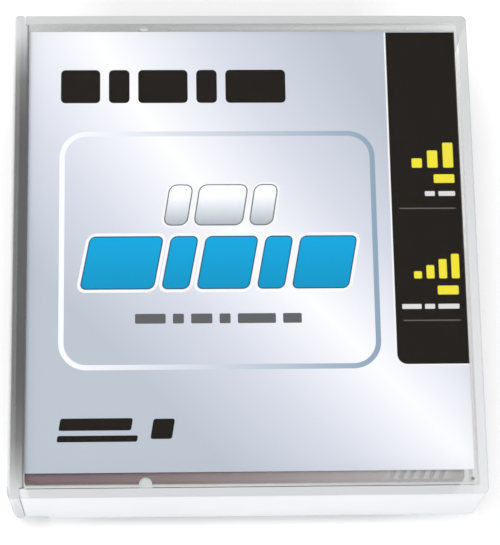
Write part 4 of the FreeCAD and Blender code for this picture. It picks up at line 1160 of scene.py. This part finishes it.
def make_camera(settings):
    """The camera stands off the object's foot and looks down on it."""
    camera_data = bpy.data.cameras.new("camera")
    camera_data.lens = settings.camera_lens
    camera_data.sensor_width = 36.0
    camera_data.clip_start = 0.01
    turn = (
        Matrix.Rotation(settings.camera_turn, 4, "Z")
        @ Matrix.Rotation(settings.camera_tilt, 4, "X")
        @ Matrix.Rotation(settings.camera_roll, 4, "Z")
    )
    camera = bpy.data.objects.new("camera", camera_data)
    camera.matrix_world = turn @ Matrix.Translation((*CAMERA_ASIDE, settings.camera_distance))
    bpy.context.scene.collection.objects.link(camera)
    bpy.context.scene.camera = camera


OPERATORS = (
    LIBRARYCASE_OT_case,
    LIBRARYCASE_OT_card,
    LIBRARYCASE_OT_side_band,
    LIBRARYCASE_OT_frame_line,
    LIBRARYCASE_OT_title,
    LIBRARYCASE_OT_silver_mark,
    LIBRARYCASE_OT_cyan_mark,
    LIBRARYCASE_OT_caption,
    LIBRARYCASE_OT_corner_mark,
    LIBRARYCASE_OT_levels,
    LIBRARYCASE_OT_shell,
    LIBRARYCASE_OT_reel,
    LIBRARYCASE_OT_springs,
    LIBRARYCASE_OT_stage,
)


class LIBRARYCASE_PT_panel(bpy.types.Panel):
    """Sizes, colours and steps of the library case"""

    bl_idname = "LIBRARYCASE_PT_panel"
    bl_label = "Library case"
    bl_space_type = "VIEW_3D"
    bl_region_type = "UI"
    bl_category = "Library case"

    def draw(self, context):
        for name, group in SETTINGS.items():
            box = self.layout.box()
            box.label(text=group.__doc__)
            for key in group.__annotations__:
                box.prop(getattr(context.scene, name), key)
        for operator in OPERATORS:
            self.layout.operator(operator.bl_idname)


CLASSES = (*SETTINGS.values(), *OPERATORS, LIBRARYCASE_PT_panel)


def register():
    """Make the settings, operators and panel known."""
    for cls in CLASSES:
        bpy.utils.register_class(cls)
    for name, group in SETTINGS.items():
        setattr(bpy.types.Scene, name, bpy.props.PointerProperty(type=group))


def unregister():
    """Take them away again."""
    for name in SETTINGS:
        delattr(bpy.types.Scene, name)
    for cls in reversed(CLASSES):
        bpy.utils.unregister_class(cls)


def main():
    """Build the object's looks and its stage."""
    register()
    for operator in OPERATORS:
        group, name = operator.bl_idname.split(".")
        getattr(getattr(bpy.ops, group), name)()


if __name__ == "__main__":
    main()
